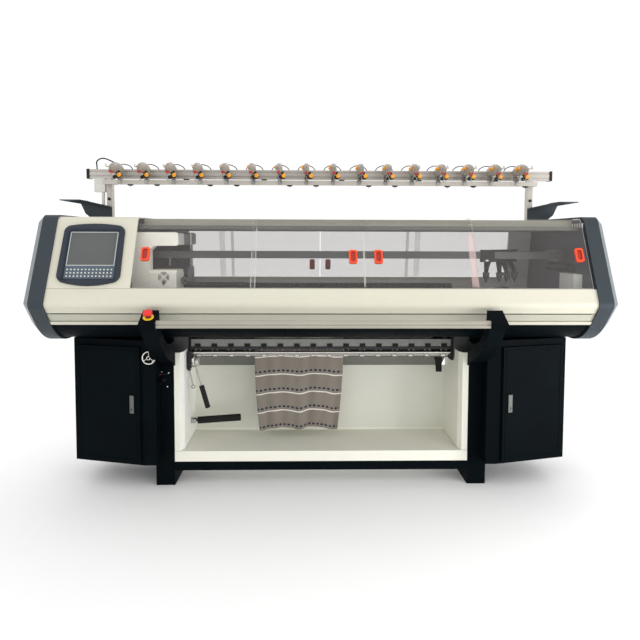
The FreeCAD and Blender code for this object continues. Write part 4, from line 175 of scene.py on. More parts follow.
class Nodes:
    """Builds one node material; every input is a value or another node's output."""

    def __init__(self, name):
        self.material = bpy.data.materials.new(name)
        self.material.use_nodes = True
        self.tree = self.material.node_tree
        self.shader = self.tree.nodes["Principled BSDF"]
        self.place = self.add("TexCoord", "Object")

    def put(self, socket, value):
        if isinstance(value, bpy.types.NodeSocket):
            self.tree.links.new(value, socket)
        else:
            socket.default_value = value

    def fill(self, node, inputs):
        """Inputs by name; an underscore stands for a space in the socket's name."""
        for name, value in inputs.items():
            self.put(node.inputs[name.replace("_", " ")], value)

    def add(self, kind, output, **inputs):
        node = self.tree.nodes.new("ShaderNode" + kind)
        self.fill(node, inputs)
        return node.outputs[output]

    def finish(self, **inputs):
        self.fill(self.shader, inputs)
        return self.material

    def stretched(self, scale):
        return self.add("Mapping", "Vector", Vector=self.place, Scale=scale)

    def noise(self, scale, detail, vector=None):
        return self.add("TexNoise", "Fac", Vector=vector or self.place, Scale=scale, Detail=detail,
                        Roughness=0.55)

    def span(self, source, low, high, from_low=0.3, from_high=0.7):
        return self.add("MapRange", "Result", Value=source, From_Min=from_low, From_Max=from_high,
                        To_Min=low, To_Max=high)

    def maths(self, operation, *values):
        node = self.tree.nodes.new("ShaderNodeMath")
        node.operation = operation
        for socket, value in zip(node.inputs, values):
            self.put(socket, value)
        return node.outputs["Value"]

    def off_centre(self, source, pitch):
        """Distance to the nearest multiple of the pitch, as a share of it: 0 to 0.5."""
        return self.maths("ABSOLUTE", self.maths("WRAP", self.maths("DIVIDE", source, pitch), 0.5, -0.5))

    def mix(self, factor, first, second):
        """Mix of two colours; 6, 7 and the output 2 are the node's colour sockets."""
        node = self.tree.nodes.new("ShaderNodeMix")
        node.data_type = "RGBA"
        self.put(node.inputs["Factor"], factor)
        for index, value in ((6, first), (7, second)):
            self.put(node.inputs[index], (*value, 1.0) if isinstance(value, tuple) else value)
        return node.outputs[2]

    def bump(self, height, distance, strength=1.0):
        return self.add("Bump", "Normal", Strength=strength, Distance=distance, Height=height)


def tint(colour, factor):
    return tuple(min(1.0, part * factor) for part in colour)


def surface(name, colour, rough, mottle, metal=0.0, grain=700.0, relief=0.00012,
            stretch=(1.0, 1.0, 1.0), coat=0.0, specular=0.5):
    """Painted, moulded or bare surface: soft tone variation, uneven gloss and a fine relief."""
    gloss_spread = 0.07
    make = Nodes(name)
    vector = make.stretched(stretch)
    broad = make.noise(5.0, 4.0)
    fine = make.noise(grain, 2.0, vector)
    middle = make.noise(60.0, 4.0, vector)
    shade = make.span(make.maths("MULTIPLY_ADD", middle, 0.35, broad), 0.0, 1.0, 0.45, 0.9)
    gloss = make.span(middle, max(0.03, rough - gloss_spread), min(1.0, rough + gloss_spread))
    return make.finish(Base_Color=make.mix(shade, tint(colour, 1.0 - mottle), tint(colour, 1.0 + mottle)),
                       Roughness=gloss, Metallic=metal, Coat_Weight=coat, Specular_IOR_Level=specular,
                       Normal=make.bump(fine, relief))


def clear_sheet(name, colour, alpha):
    """Thin acrylic: mostly see-through, with gloss, light smears and a warm tint."""
    rough = 0.06
    make = Nodes(name)
    smear = make.noise(3.0, 5.0, make.stretched((1.0, 1.0, 0.35)))
    return make.finish(Base_Color=make.mix(make.span(smear, 0.0, 1.0), tint(colour, 0.92), colour),
                       Roughness=make.span(smear, rough * 0.6, rough * 1.8), Alpha=alpha, IOR=1.49,
                       Normal=make.bump(make.noise(14.0, 2.0), 0.0004, 0.3))


def knitted_wool():
    """Greige knit with white lines and rows of navy dashes, on the cloth's own UV map in metres."""
    dark_wool, pale_wool, worn_wool = (0.135, 0.114, 0.092), (0.33, 0.288, 0.243), (0.21, 0.185, 0.155)
    white_yarn, navy_yarn = (0.8, 0.78, 0.72), (0.004, 0.006, 0.034)
    fray = 0.02
    make = Nodes("knitted_wool")
    uv = make.tree.nodes.new("ShaderNodeUVMap")
    uv.uv_map = "cloth"
    across = make.add("SeparateXYZ", "X", Vector=uv.outputs["UV"])
    up = across.node.outputs["Y"]
    fuzz = make.noise(900.0, 4.0, uv.outputs["UV"])
    patch = make.noise(14.0, 3.0, uv.outputs["UV"])
    ground = make.mix(make.span(fuzz, 0.0, 1.0, 0.35, 0.65), dark_wool, pale_wool)
    ground = make.mix(make.span(patch, 0.0, 0.35), ground, worn_wool)
    stripe = make.off_centre(make.maths("SUBTRACT", up, stripe_first_z % stripe_pitch), stripe_pitch)
    white_line = make.maths("LESS_THAN", make.maths("MULTIPLY_ADD", fuzz, fray, stripe),
                            stripe_half_height / stripe_pitch + fray / 2)
    dash_up = make.maths("SUBTRACT", up, (stripe_first_z + dash_rise) % stripe_pitch)
    dash_step = (fabric_right_top - fabric_left_top) / dash_count
    blob = make.maths("ADD", *(
        make.maths("POWER", make.maths("MULTIPLY", make.off_centre(run, pitch), pitch / half), 2.0)
        for run, pitch, half in ((dash_up, stripe_pitch, dash_half_height),
                                 (across, dash_step, dash_half_width))))
    tone = make.mix(white_line, ground, white_yarn)
    tone = make.mix(make.maths("LESS_THAN", blob, 1.0), tone, navy_yarn)
    wale = make.maths("SINE", make.maths("MULTIPLY", across, 2 * math.pi / wale_pitch))
    course = make.maths("SINE", make.maths("MULTIPLY", up, 2 * math.pi / course_pitch))
    stitch = make.maths("MULTIPLY_ADD", wale, 0.5, make.maths("MULTIPLY", course, 0.35))
    height = make.maths("MULTIPLY_ADD", white_line, 1.5, make.maths("MULTIPLY_ADD", fuzz, 0.8, stitch))
    return make.finish(Base_Color=tone, Roughness=0.92, Sheen_Weight=0.25, Sheen_Roughness=0.5,
                       Normal=make.bump(height, 0.0006))


# ---- finishes

along_x = (0.05, 1.0, 1.0)
# name, base colour, then roughness and mottle, or the alpha of a clear sheet
finishes = {
    "slate": surface("slate_coat", (0.034, 0.045, 0.054), 0.5, 0.08, relief=0.0002, specular=0.25),
    # lighter, glossier slate for the end caps' bevels: a painted highlight where they catch the light
    "bevel": surface("slate_bevel_highlight", (0.125, 0.155, 0.168), 0.35, 0.06, specular=0.8),
    "cream": surface("cream_coat", (0.625, 0.603, 0.497), 0.42, 0.018),
    "greige": surface("greige_coat", (0.47, 0.465, 0.38), 0.5, 0.03),
    "black": surface("textured_black", (0.0022, 0.0042, 0.0056), 0.5, 0.2, grain=420.0,
        relief=0.0003, specular=0.025),
    "machined": surface("ground_steel", (0.24, 0.23, 0.21), 0.32, 0.15, metal=1.0,
        stretch=(0.06, 1.0, 1.0), grain=1200.0),
    "needle_steel": surface("needle_bed_steel", (0.06, 0.058, 0.056), 0.42, 0.25, metal=0.6,
        stretch=(1.0, 0.08, 0.08), grain=1300.0),
    "chrome": surface("polished_steel", (0.7, 0.68, 0.64), 0.18, 0.06, metal=1.0),
    "aluminium": surface("anodised_aluminium", (0.49, 0.46, 0.42), 0.4, 0.06, metal=0.4,
        stretch=along_x, grain=900.0),
    "rail_dark": surface("guide_rail_grey", (0.085, 0.09, 0.09), 0.42, 0.1, metal=0.35,
        stretch=(0.04, 1.0, 1.0), grain=900.0),
    "casting": surface("dark_casting", (0.035, 0.036, 0.038), 0.55, 0.2, metal=0.1, specular=0.25),
    "zinc": surface("grey_takedown", (0.2, 0.2, 0.19), 0.45, 0.08, metal=0.4),
    "strip_grey": surface("pale_strip", (0.21, 0.21, 0.195), 0.34, 0.08, stretch=(0.1, 1.0, 1.0)),
    "rubber": surface("dark_rubber", (0.01, 0.01, 0.01), 0.6, 0.2, grain=900.0, specular=0.2),
    "carriage": surface("carriage_shell", (0.82, 0.8, 0.71), 0.42, 0.02, relief=0.0002),
    "moulded": surface("pale_moulding", (0.29, 0.25, 0.208), 0.46, 0.07, relief=0.0002),
    "orange": surface("orange_knob", (0.9, 0.36, 0.012), 0.3, 0.06),
    "red": surface("button_red", (0.78, 0.018, 0.012), 0.28, 0.05),
    "yellow": surface("collar_yellow", (0.9, 0.58, 0.01), 0.32, 0.04),
    "bar": surface("bar_grey", (0.36, 0.335, 0.28), 0.36, 0.05, metal=0.1, stretch=(0.1, 1.0, 1.0)),
    "bezel": surface("bezel_slate", (0.022, 0.03, 0.043), 0.5, 0.06, relief=0.0002, specular=0.3),
    "membrane": surface("key_membrane", (0.085, 0.115, 0.15), 0.4, 0.05, specular=0.3),
    "screen": surface("screen_grey", (0.115, 0.122, 0.118), 0.35, 0.05, specular=0.12),
    "keys": surface("key_cream", (0.62, 0.62, 0.55), 0.4, 0.05),
    "frame_rib": surface("screen_frame", (0.48, 0.49, 0.48), 0.35, 0.05),
    "hose": surface("spiral_hose", (0.012, 0.012, 0.013), 0.5, 0.2, specular=0.25),
    "galvanised": surface("galvanised_steel", (0.42, 0.41, 0.39), 0.38, 0.08, metal=0.9),
    "ceramic": surface("white_ceramic", (0.7, 0.66, 0.58), 0.2, 0.04, coat=0.3),
    "thread": surface("loose_thread", (0.3, 0.27, 0.22), 0.9, 0.15, specular=0.1),
    "window": clear_sheet("clear_window", (0.74, 0.69, 0.67), 0.04),
    "rear_window": clear_sheet("rear_window", (0.6, 0.545, 0.515), 0.27),
    "lip_clear": clear_sheet("lip_clear", (0.8, 0.76, 0.74), 0.42),
    "lip_rose": clear_sheet("lip_rose", (0.88, 0.64, 0.62), 0.28),
    "band_clear": clear_sheet("band_clear", (0.8, 0.74, 0.7), 0.16),
    "gloss_black": surface("gloss_black", (0.006, 0.006, 0.007), 0.25, 0.2, specular=0.3),
    "lock_grey": surface("lock_grey", (0.11, 0.115, 0.1), 0.4, 0.1, metal=0.3),
    "light_metal": surface("light_metal", (0.6, 0.59, 0.56), 0.35, 0.05, metal=0.4),
    "track_shadow": surface("track_shadow", (0.085, 0.085, 0.075), 0.45, 0.1, metal=0.1, stretch=along_x),
    "bright_wire": surface("bright_wire", (0.34, 0.33, 0.31), 0.25, 0.15, metal=0.9),
}
# plain ones, under their materials' names
for name, *values in (
        ("inner_cream", (0.84, 0.83, 0.73), 0.5, 0.02),
        ("plate_grey", (0.085, 0.088, 0.092), 0.5, 0.1),
        ("grip_orange", (0.84, 0.06, 0.008), 0.35, 0.05),
        ("grip_well", (0.38, 0.016, 0.004), 0.45, 0.08),
        ("grip_maroon", (0.42, 0.024, 0.026), 0.38, 0.08),
        ("window_edge", (0.74, 0.64, 0.6), 0.25, 0.05),
        ("box_grey", (0.66, 0.66, 0.62), 0.45, 0.03),
        # darker olive for the top cover's front face: painted shade
        ("header_olive", (0.27, 0.265, 0.22), 0.5, 0.06),
        # paler cream for the rear apron's inner faces: painted light
        ("inner_pale", (0.93, 0.9, 0.87), 0.5, 0.02),
        # near white for the compartment's left side panel: painted light
        ("inner_side", (0.97, 0.97, 0.92), 0.45, 0.02),
        # darker cream for the compartment's back panel: painted shade
        ("inner_back", (0.74, 0.745, 0.66), 0.5, 0.02)):
    finishes[name] = surface(name, *values)

# the CAD nodes that each finish covers
node_finishes = {
    "slate": "left_end_cap right_end_cap table_brackets",
    "cream": "front_apron rear_apron control_cover top_cover",
    "greige": "apron_skirt window_tracks",
    "black": "base_pan stand_frame horn_brackets left_cabinet right_cabinet left_door right_door",
    "bezel": "display_bezel",
    "membrane": "display_panel",
    "inner_cream": "collection_tray compartment_panels",
    "lock_grey": "left_lock_handle right_lock_handle",
    "chrome": "hand_wheel press_rollers tensioner_arms",
    "bar": "start_bar",
    "yellow": "emergency_collar",
    "red": "emergency_head",
    "casting": "emergency_stem bed_beams",
    "rubber": "power_switch_toggle grip_lever yarn_carrier_1 yarn_carrier_2 yarn_carrier_3 yarn_carrier_4",
    "needle_steel": "needle_beds",
    "rail_dark": "guide_rails yarn_carrier_rails",
    "carriage": "carriage_bridge carriage_cam_boxes",
    "machined": "main_takedown_roller",
    "zinc": "takedown_frame",
    "bright_wire": "takedown_brackets release_lever ring_lever",
    "aluminium": "feeder_frame",
    "box_grey": "electrical_boxes",
    "hose": "cable_conduits",
    "moulded": "tensioner_housings",
    "orange": "tensioner_discs",
    "gloss_black": "yarn_guides",
    "thread": "knitted_fabric",
    "window": "front_window_1 front_window_2 front_window_3 front_window_4",
    "rear_window": "rear_window_left rear_window_right rear_fixed_windows",
}


def slope_y(z):
    """Y of the leaning front at a height."""
    return nose_y + (z - nose_z) * math.tan(front_lean)


def paint_nodes():
    for finish, names in node_finishes.items():
        for name in names.split():
            mesh = nodes[name].data
            mesh.materials.clear()
            mesh.materials.append(finishes[finish])

    def repaint(name, finish, chosen, every=False):
        """A second finish for the faces whose centre (or every corner) is chosen."""
        mesh = nodes[name].data
        mesh.materials.append(finishes[finish])
        slot_index = len(mesh.materials) - 1
        for face in mesh.polygons:
            places = [mesh.vertices[corner].co for corner in face.vertices] if every else [face.center]
            if all(chosen(place, face.normal) for place in places):
                face.material_index = slot_index

    def on_slope(place, middle_z):
        """Height up the leaning front from a middle height, and distance out of it."""
        step_y, step_z = place.y - slope_y(middle_z), place.z - middle_z
        return (step_y * math.sin(front_lean) + step_z * math.cos(front_lean),
                -step_y * math.cos(front_lean) + step_z * math.sin(front_lean))

    # end caps' bevels in the lighter slate: painted highlight
    for name in ("left_end_cap", "right_end_cap"):
        repaint(name, "bevel", lambda c, n: 0.2 < abs(n.x) < 0.98)
    repaint("apron_skirt", "cream", lambda c, n: c.z < 0.8385)

    # pull handles: an orange rim round a darker well
    for name, handle_x in window_handles.items():
        repaint(name, "window_edge", lambda c, n: abs(n.x) > 0.9)
        for finish, half_width, half_height in (("grip_orange", 0.0198, 0.034), ("grip_well", 0.0115, 0.0255)):
            repaint(name, finish, lambda c, n: (abs(c.x - handle_x) < half_width
                                                and abs(on_slope(c, handle_z)[0]) < half_height), True)
    for name in ("rear_window_left", "rear_window_right"):
        repaint(name, "grip_maroon", lambda c, n: 0.029 < abs(c.x) < 0.061 and 1.029 < c.z < 1.093, True)

    # display: half width, lowest and highest place up the slope, and how far in a face may lie
    key_depth = -0.0065
    for finish, half, low, high, depth in (("frame_rib", 0.1074, -0.0601, 0.108, -1.0),
                                           ("screen", 0.1033, -0.056, 0.1039, -1.0),
                                           ("keys", 0.1065, -0.118, -0.07, key_depth)):
        repaint("display_panel", finish, lambda c, n: (abs(c.x - display_x) < half
                                                       and low < on_slope(c, display_z)[0] < high
                                                       and on_slope(c, display_z)[1] > depth), True)

    # takedown: pale strip, end plates with the motor side, square shaft, round shaft
    repaint("takedown_frame", "strip_grey", lambda c, n: c.z > 0.664 and c.y < 0.05)
    repaint("takedown_frame", "rubber", lambda c, n: abs(c.x) > 0.655 or (c.x > 0.57 and c.y > 0.09))
    repaint("takedown_frame", "casting", lambda c, n: 0.6495 < c.z < 0.6615 and c.y < 0.035)
    repaint("takedown_frame", "chrome", lambda c, n: 0.6255 < c.z < 0.6405 and c.y < 0.035)
    repaint("takedown_brackets", "rubber", lambda c, n: c.y < 0.0225)
    repaint("release_lever", "rubber", lambda c, n: c.z < 0.474)

    # carriage's rear half; window header and tracks darkened as painted shade; and the faces seen inside
    repaint("carriage_cam_boxes", "plate_grey", lambda c, n: c.y > 0.0)
    repaint("carriage_bridge", "plate_grey", lambda c, n: c.y > -0.095 and abs(n.z) < 0.9)
    repaint("top_cover", "header_olive", lambda c, n: c.y < -0.08 and n.y < -0.5)
    repaint("top_cover", "track_shadow", lambda c, n: c.y < -0.15 and n.y < -0.5)
    # rear apron's inner faces paler than the cream: painted light
    repaint("rear_apron", "inner_pale", lambda c, n: n.y < -0.5)
    repaint("window_tracks", "track_shadow", lambda c, n: c.z > 1.2)
    repaint("window_tracks", "inner_cream", lambda c, n: c.z < 1.2 and c.y > 0.0)
    repaint("needle_beds", "machined", lambda c, n: abs(n.z) > 0.6 and abs(n.y) > 0.6 and c.z > 0.95)

    # compartment: the lever's pin, the left side panel lightened as painted light and the back panel darkened
    # as painted shade
    repaint("compartment_panels", "galvanised", lambda c, n: (0.24 < c.z < 0.3 and -0.68 < c.x < -0.6
                                                              and 0.07 < c.y < 0.14 and abs(n.x) < 0.9))
    repaint("compartment_panels", "inner_side", lambda c, n: n.x > 0.9 and c.x < -0.6)
    repaint("compartment_panels", "inner_back", lambda c, n: n.y < -0.9 and c.y > 0.2)


# ---- mesh helpers

def axes_round(axis):
    """Unit vector along an axis, and two across it."""
    axis = Vector(axis).normalized()
    first = axis.orthogonal().normalized()
    return axis, first, axis.cross(first)


def circle(first, second, sides):
    """Unit vectors round a circle, from the first towards the second."""
    turns = [2 * math.pi * k / sides for k in range(sides)]
    return [first * math.cos(turn) + second * math.sin(turn) for turn in turns]


def between(start, end, share):
    return start + (end - start) * share


class Form:
    """Collects the mesh of one piece; every method adds a closed body in the current finish."""

    def __init__(self, *finish_names):
        self.mesh = bmesh.new()
        self.finish_names = finish_names
        self.finish = finish_names[0]

    def faces(self, faces, smooth):
        index = self.finish_names.index(self.finish)
        for face in faces:
            face.material_index = index
            face.smooth = smooth

    def rings(self, rings, smooth=True, closed=False):
        """Skin over rings of points; the ends are capped unless the rings close on themselves."""
        loops = [[self.mesh.verts.new(point) for point in ring] for ring in rings]
        count = len(loops[0])
        made = []
        pairs = list(zip(loops, loops[1:]))
        if closed:
            pairs.append((loops[-1], loops[0]))
        for lower, upper in pairs:
            for i in range(count):
                j = (i + 1) % count
                made.append(self.mesh.faces.new((lower[i], lower[j], upper[j], upper[i])))
        self.faces(made, smooth)
        if not closed:
            self.faces([self.mesh.faces.new(loops[0][::-1]), self.mesh.faces.new(loops[-1])], False)

    def lathe(self, foot, axis, profile, sides):
        """Body of revolution; the profile gives (radius, height along the axis) in millimetres."""
        axis, first, second = axes_round(axis)
        self.rings([[Vector(foot) + (axis * height + spot * radius) * 0.001
                     for spot in circle(first, second, sides)] for radius, height in profile])

    def ring(self, centre, axis, radius, wire, sides, wire_sides):
        """Torus round an axis."""
        axis, first, second = axes_round(axis)
        self.rings([[Vector(centre) + out * radius + spot * wire for spot in circle(out, axis, wire_sides)]
                    for out in circle(first, second, sides)], closed=True)

    def tube(self, points, radius, sides):
        """Round wire through points, with its thickness carried round the corners."""
        points = [Vector(point) for point in points]
        aside = None
        rings = []
        for i, point in enumerate(points):
            along = (points[min(i + 1, len(points) - 1)] - points[max(i - 1, 0)]).normalized()
            if aside is None:
                aside = along.orthogonal().normalized()
            aside = (aside - along * aside.dot(along)).normalized()
            wide = radius[i] if isinstance(radius, list) else radius
            rings.append([point + spot * wide for spot in circle(aside, along.cross(aside), sides)])
        self.rings(rings)

    def block(self, low, high, edge):
        """Block with small chamfers on all its edges."""
        low, high = Vector(low), Vector(high)
        edge = min(edge, min(high - low) * 0.45)
        rings = []
        for z, inward in ((low.z, edge), (low.z + edge, 0.0), (high.z - edge, 0.0), (high.z, edge)):
            a, b = low.x + inward, high.x - inward
            c, d = low.y + inward, high.y - inward
            rings.append([(a + edge, c, z), (b - edge, c, z), (b, c + edge, z), (b, d - edge, z),
                          (b - edge, d, z), (a + edge, d, z), (a, d - edge, z), (a, c + edge, z)])
        self.rings(rings, smooth=False)

    def plate(self, outline, travel):
        """Flat plate of any outline, pushed along a vector."""
        self.rings([outline, [Vector(point) + Vector(travel) for point in outline]], smooth=False)

    def piece(self, name, replaced=(), body="machine"):
        bmesh.ops.recalc_face_normals(self.mesh, faces=self.mesh.faces)
        data = bpy.data.meshes.new(name)
        self.mesh.to_mesh(data)
        self.mesh.free()
        for finish in self.finish_names:
            data.materials.append(finishes[finish])
        obj = bpy.data.objects.new(name, data)
        add_to_scene(obj)
        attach(obj, body)
        if replaced:
            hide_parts(*replaced)


def bend(points, steps):
    """Points of a smooth line that passes through the given ones."""
    points = [Vector(point) for point in points]
    line = []
    for i in range(len(points) - 1):
        before = points[max(i - 1, 0)]
        start, end = points[i], points[i + 1]
        after = points[min(i + 2, len(points) - 1)]
        for k in range(steps):
            t = k / steps
            line.append(0.5 * ((2 * start) + (end - before) * t
                               + (2 * before - 5 * start + 4 * end - after) * t * t
                               + (3 * start - before - 3 * end + after) * t ** 3))
    line.append(points[-1])
    return line


def beside(x, *points):
    """Points given by their step from x."""
    return [(x + step, y, z) for step, y, z in points]


def slope_point(x, up, out):
    """Point on the leaning front: x across, up the slope from the display's middle, and out of it."""
    return (display_x + x,
            slope_y(display_z) + up * math.sin(front_lean) - out * math.cos(front_lean),
            display_z + up * math.cos(front_lean) + out * math.sin(front_lean))


# ---- display

def rounded_outline(half, low, high, corner, bulge_low=0.0, bulge_high=0.0, taper=0.0):
    """Rounded rectangle with bowed ends, as (x, up) pairs from the lower left, anticlockwise."""
    steps = 8
    points = []
    spots = [((-half + corner, low + corner), 180), ((half - corner, low + corner), 270),
             ((half - corner - taper, high - corner), 0), ((-half + corner + taper, high - corner), 90)]
    for (x, y), start in spots:
        for k in range(steps + 1):
            turn = math.radians(start + 90.0 * k / steps)
            points.append((x + corner * math.cos(turn), y + corner * math.sin(turn)))
    line = []
    for i, (x, y) in enumerate(points):
        line.append((x, y))
        if i % (steps + 1) == steps:
            end_x, end_y = points[(i + 1) % len(points)]
            for k in range(1, steps):
                t = k / steps
                line.append((between(x, end_x, t), between(y, end_y, t)))
    bowed = []
    for x, y in line:
        share = max(0.0, 1.0 - (x / half) ** 2)
        if y < low + corner:
            y -= bulge_low * share * (1.0 - (y - low) / corner)
        elif y > high - corner:
            y += bulge_high * share * (1.0 - (high - y) / corner)
        bowed.append((x, y))
    return bowed


def display_frame():
    """Dark moulded bezel: a soft outer edge, a flat crown and a funnel down to the screen."""
    sunk = 0.008
    # half width, low, high, corner, bulge below, bulge above, taper, height out of the slope
    stages = [(0.139, -0.1316, 0.1316, 0.026, 0.024, 0.0145, 0.003, 0.0002),
              (0.139, -0.1316, 0.1316, 0.026, 0.024, 0.0145, 0.003, 0.0085),
              (0.1378, -0.1304, 0.1304, 0.025, 0.024, 0.0145, 0.003, 0.012),
              (0.135, -0.1276, 0.1276, 0.023, 0.024, 0.0145, 0.003, 0.0148),
              (0.131, -0.1236, 0.1236, 0.02, 0.022, 0.013, 0.003, 0.0158),
              (0.1215, -0.133, 0.121, 0.01, 0.002, 0.001, 0.001, 0.0157),
              (0.119, -0.1306, 0.1186, 0.009, 0.001, 0.001, 0.001, 0.0145),
              (0.1108, -0.1224, 0.1104, 0.005, 0, 0, 0, 0.0045),
              (0.1102, -0.1218, 0.1098, 0.005, 0, 0, 0, 0.0002)]
    form = Form("bezel")
    form.rings([[slope_point(x, up, out - sunk) for x, up in rounded_outline(*shape)]
                for *shape, out in stages], closed=True)
    box = rounded_outline(0.1195, -0.1245, 0.1245, 0.01)
    form.rings([[slope_point(x, up, out - sunk) for x, up in box] for out in (-0.0398, -0.0062)])
    form.piece("display_frame", ["display_bezel"])


# ---- yarn tensioners on the beam

def tensioner_shells():
    """Moulded housings with rounded backs that point forwards, each on its clamp."""
    # cross-sections of the housing: y, half width, lowest and highest z; below, how square they are
    stations = [(-0.005, 0.005, 1.544, 1.555), (0.001, 0.0088, 1.54, 1.561),
                (0.012, 0.0118, 1.5365, 1.568), (0.032, 0.0138, 1.534, 1.5768),
                (0.06, 0.0146, 1.533, 1.5852), (0.09, 0.0148, 1.5332, 1.5897),
                (0.125, 0.0146, 1.5345, 1.5888), (0.16, 0.0138, 1.538, 1.5822),
                (0.185, 0.0122, 1.543, 1.575), (0.196, 0.0095, 1.5475, 1.57),
                (0.2, 0.006, 1.552, 1.565)]
    sides, square_x, square_z = 20, 0.55, 0.72
    form = Form("moulded", "bright_wire")
    for x in tensioner_places:
        form.finish = "moulded"
        rings = []
        for y, half, low, high in stations:
            middle, tall = (low + high) / 2, (high - low) / 2
            ring = []
            for k in range(sides):
                turn = 2 * math.pi * (k + 0.5) / sides
                c, s = math.cos(turn), math.sin(turn)
                ring.append((x + half * math.copysign(abs(c) ** square_x, c), y,
                             middle + tall * math.copysign(abs(s) ** square_z, s)))
            rings.append(ring)
        form.rings(rings)
        form.finish = "bright_wire"
        # clamp with its plate and screw
        form.block((x - 0.007, 0.145, 1.507), (x + 0.007, 0.188, 1.547), 0.0015)
        form.block((x - 0.009, 0.139, 1.486), (x + 0.009, 0.1448, 1.53), 0.001)
        form.lathe((x, 0.139, 1.512), to_front, [(4.5, 0), (4.5, 4), (3.6, 5)], 12)
        # hook with its eye below the nose, wires behind it and the nose's ferrule
        form.tube(bend(beside(x, (-0.004, 0.03, 1.5365), (-0.004, 0.024, 1.526), (-0.002, 0.016, 1.515),
            (0.002, 0.018, 1.503)), 4), 0.0016, 6)
        form.ring((x + 0.002, 0.018, 1.498), (0, 1, 0.3), 0.0044, 0.0016, 14, 6)
        form.tube(bend(beside(x, (0.004, 0.048, 1.5365), (0.006, 0.05, 1.53), (0.014, 0.056, 1.523)), 4),
            0.002, 6)
        form.tube(beside(x, (-0.002, 0.1, 1.536), (-0.002, 0.112, 1.512), (-0.001, 0.139, 1.507)),
            0.0026, 8)
        form.lathe((x - 0.006, 0.002, 1.543), (0, -0.5, -0.8), [(4, 0), (4, 6), (2, 8)], 12)
    form.piece("tensioner_shells", ["tensioner_housings"])


def tension_dials():
    """Orange tension discs beside each housing, the orange dial below and the maroon lamp."""
    disc_z = 1.566
    form = Form("orange", "grip_maroon", "chrome")
    for x in tensioner_places:
        side = x - 0.0138
        for y in (0.06, 0.106):
            form.finish = "orange"
            form.lathe((side, y, disc_z), (-1, 0, 0), [(8, 0), (10.4, 1), (10.4, 3.4), (7, 4.8), (7, 8),
                (5.6, 10), (1.8, 10.8)], 20)
            form.finish = "chrome"
            form.lathe((side - 0.0108, y, disc_z), (-1, 0, 0), [(1.8, -4), (1.8, 0.2)], 8)
        form.finish = "orange"
        form.lathe((x + 0.023, 0.06, 1.524), dial_axis, [(10.6, 0), (11, 1), (11, 3.4), (9.4, 4.8),
            (8.8, 5.6), (3, 5.9)], 24)
        form.finish = "grip_maroon"
        form.block((x - 0.0105, 0.002, 1.529), (x + 0.0085, 0.034, 1.5405), 0.003)
    form.piece("tension_dials", ["tensioner_discs"])


def guide_cups():
    """Black cups behind the dials, half dishes below the rails, beam end plates and post knobs."""
    form = Form("gloss_black", "ceramic")
    for i, x in enumerate(tensioner_places):
        form.finish = "gloss_black"
        form.lathe((x + 0.019, 0.06, 1.52), -dial_axis, [(12.8, 0), (15, 1.4), (15, 10), (12.5, 16),
            (8, 26.5)], 24)
        form.lathe((x + 0.001, 0.06, 1.512), (0.1, -0.9, -0.25), [(3, -10), (8.5, -6), (9.8, 0), (9, 3),
            (3, 4)], 20)
        form.block((x + 0.006, 0.074, 1.528), (x + 0.023, 0.086, 1.546), 0.002)
        # every third dish hangs from the beam, the others from the channel
        y, z = (0.229, 1.519) if i % 3 == 2 else (0.16, 1.484)
        top = Vector((x + 0.0505, y, z))
        form.lathe(top, downwards, [(15.5, 0), (16, 1), (13.8, 4.2), (9.5, 6.8), (4, 7.9)], 24)
        form.finish = "ceramic"
        form.lathe(top - Vector((0, 0, 0.0075)), downwards, [(0.8, 0), (0.8, 7), (2.2, 7.8), (2.2, 9.8),
            (0.8, 10.8)], 10)
    form.finish = "gloss_black"
    for side in (-1, 1):
        near, far = sorted((side * 1.213, side * 1.229))
        form.block((near, 0.207, 1.517), (far, 0.251, 1.569), 0.0015)
        form.lathe((side * 1.112, 0.209, 1.412), to_front, [(5, 0), (7.2, 1), (7.2, 9), (5.5, 11),
            (1, 11.5)], 18)
    form.piece("guide_cups", ["yarn_guides"])


def guide_wires():
    """Steel wires that reach forwards from the noses to an eyelet with a ceramic ring."""
    eyelet_axis = (1, 0, 0.2)
    form = Form("bright_wire", "ceramic")
    for x in tensioner_places:
        eyelet = (x, -0.0625, 1.555)
        form.finish = "bright_wire"
        form.tube(bend(beside(x, (-0.002, -0.003, 1.552), (-0.003, -0.02, 1.5535), (-0.001, -0.038, 1.553),
            (0, -0.0545, 1.5548)), 4), 0.0013, 6)
        form.tube(bend(beside(x, (0.003, -0.003, 1.551), (0.004, -0.018, 1.549), (0.002, -0.032, 1.5515),
            (0.001, -0.044, 1.554)), 4), 0.0009, 6)
        form.ring(eyelet, eyelet_axis, 0.0078, 0.0014, 20, 8)
        form.finish = "ceramic"
        form.ring(eyelet, eyelet_axis, 0.0058, 0.0011, 20, 8)
        form.finish = "bright_wire"
        form.ring((x - 0.002, -0.034, 1.5545), (0.2, 1, 0), 0.003, 0.0009, 12, 6)
    form.piece("guide_wires", ["tensioner_arms"])


def break_springs():
    """Black wire bows that stand on the beam behind each housing."""
    form = Form("gloss_black")
    for x in tensioner_places:
        form.tube(bend(beside(x, (-0.046, 0.222, 1.566), (-0.038, 0.221, 1.58), (-0.018, 0.219, 1.5915),
            (0.004, 0.218, 1.594), (0.026, 0.219, 1.588), (0.04, 0.221, 1.577), (0.047, 0.222, 1.566)), 5),
            0.0024, 6)
    form.piece("break_springs")


# ---- cables

def machine_cables():
    """Conduit along the bed and the spiral-wrapped hose on the right wall."""
    form = Form("hose")
    form.tube([(x, 0.026, 0.9761) for x in (-1.216, -0.62, -0.4, -0.372)],
        [0.0139, 0.0139, 0.0132, 0.012], 20)
    count, wrap = 96, 6
    shares = [k / count for k in range(count + 1)]
    line = [(1.186, -0.16 + 0.282 * t, 1.074 - 0.004 * t + 0.002 * math.sin(t * 9)) for t in shares]
    form.tube(line, [0.0182 if k % wrap in (0, wrap - 1) else 0.0199 for k in range(count + 1)], 20)
    form.piece("machine_cables", ["cable_conduits"])


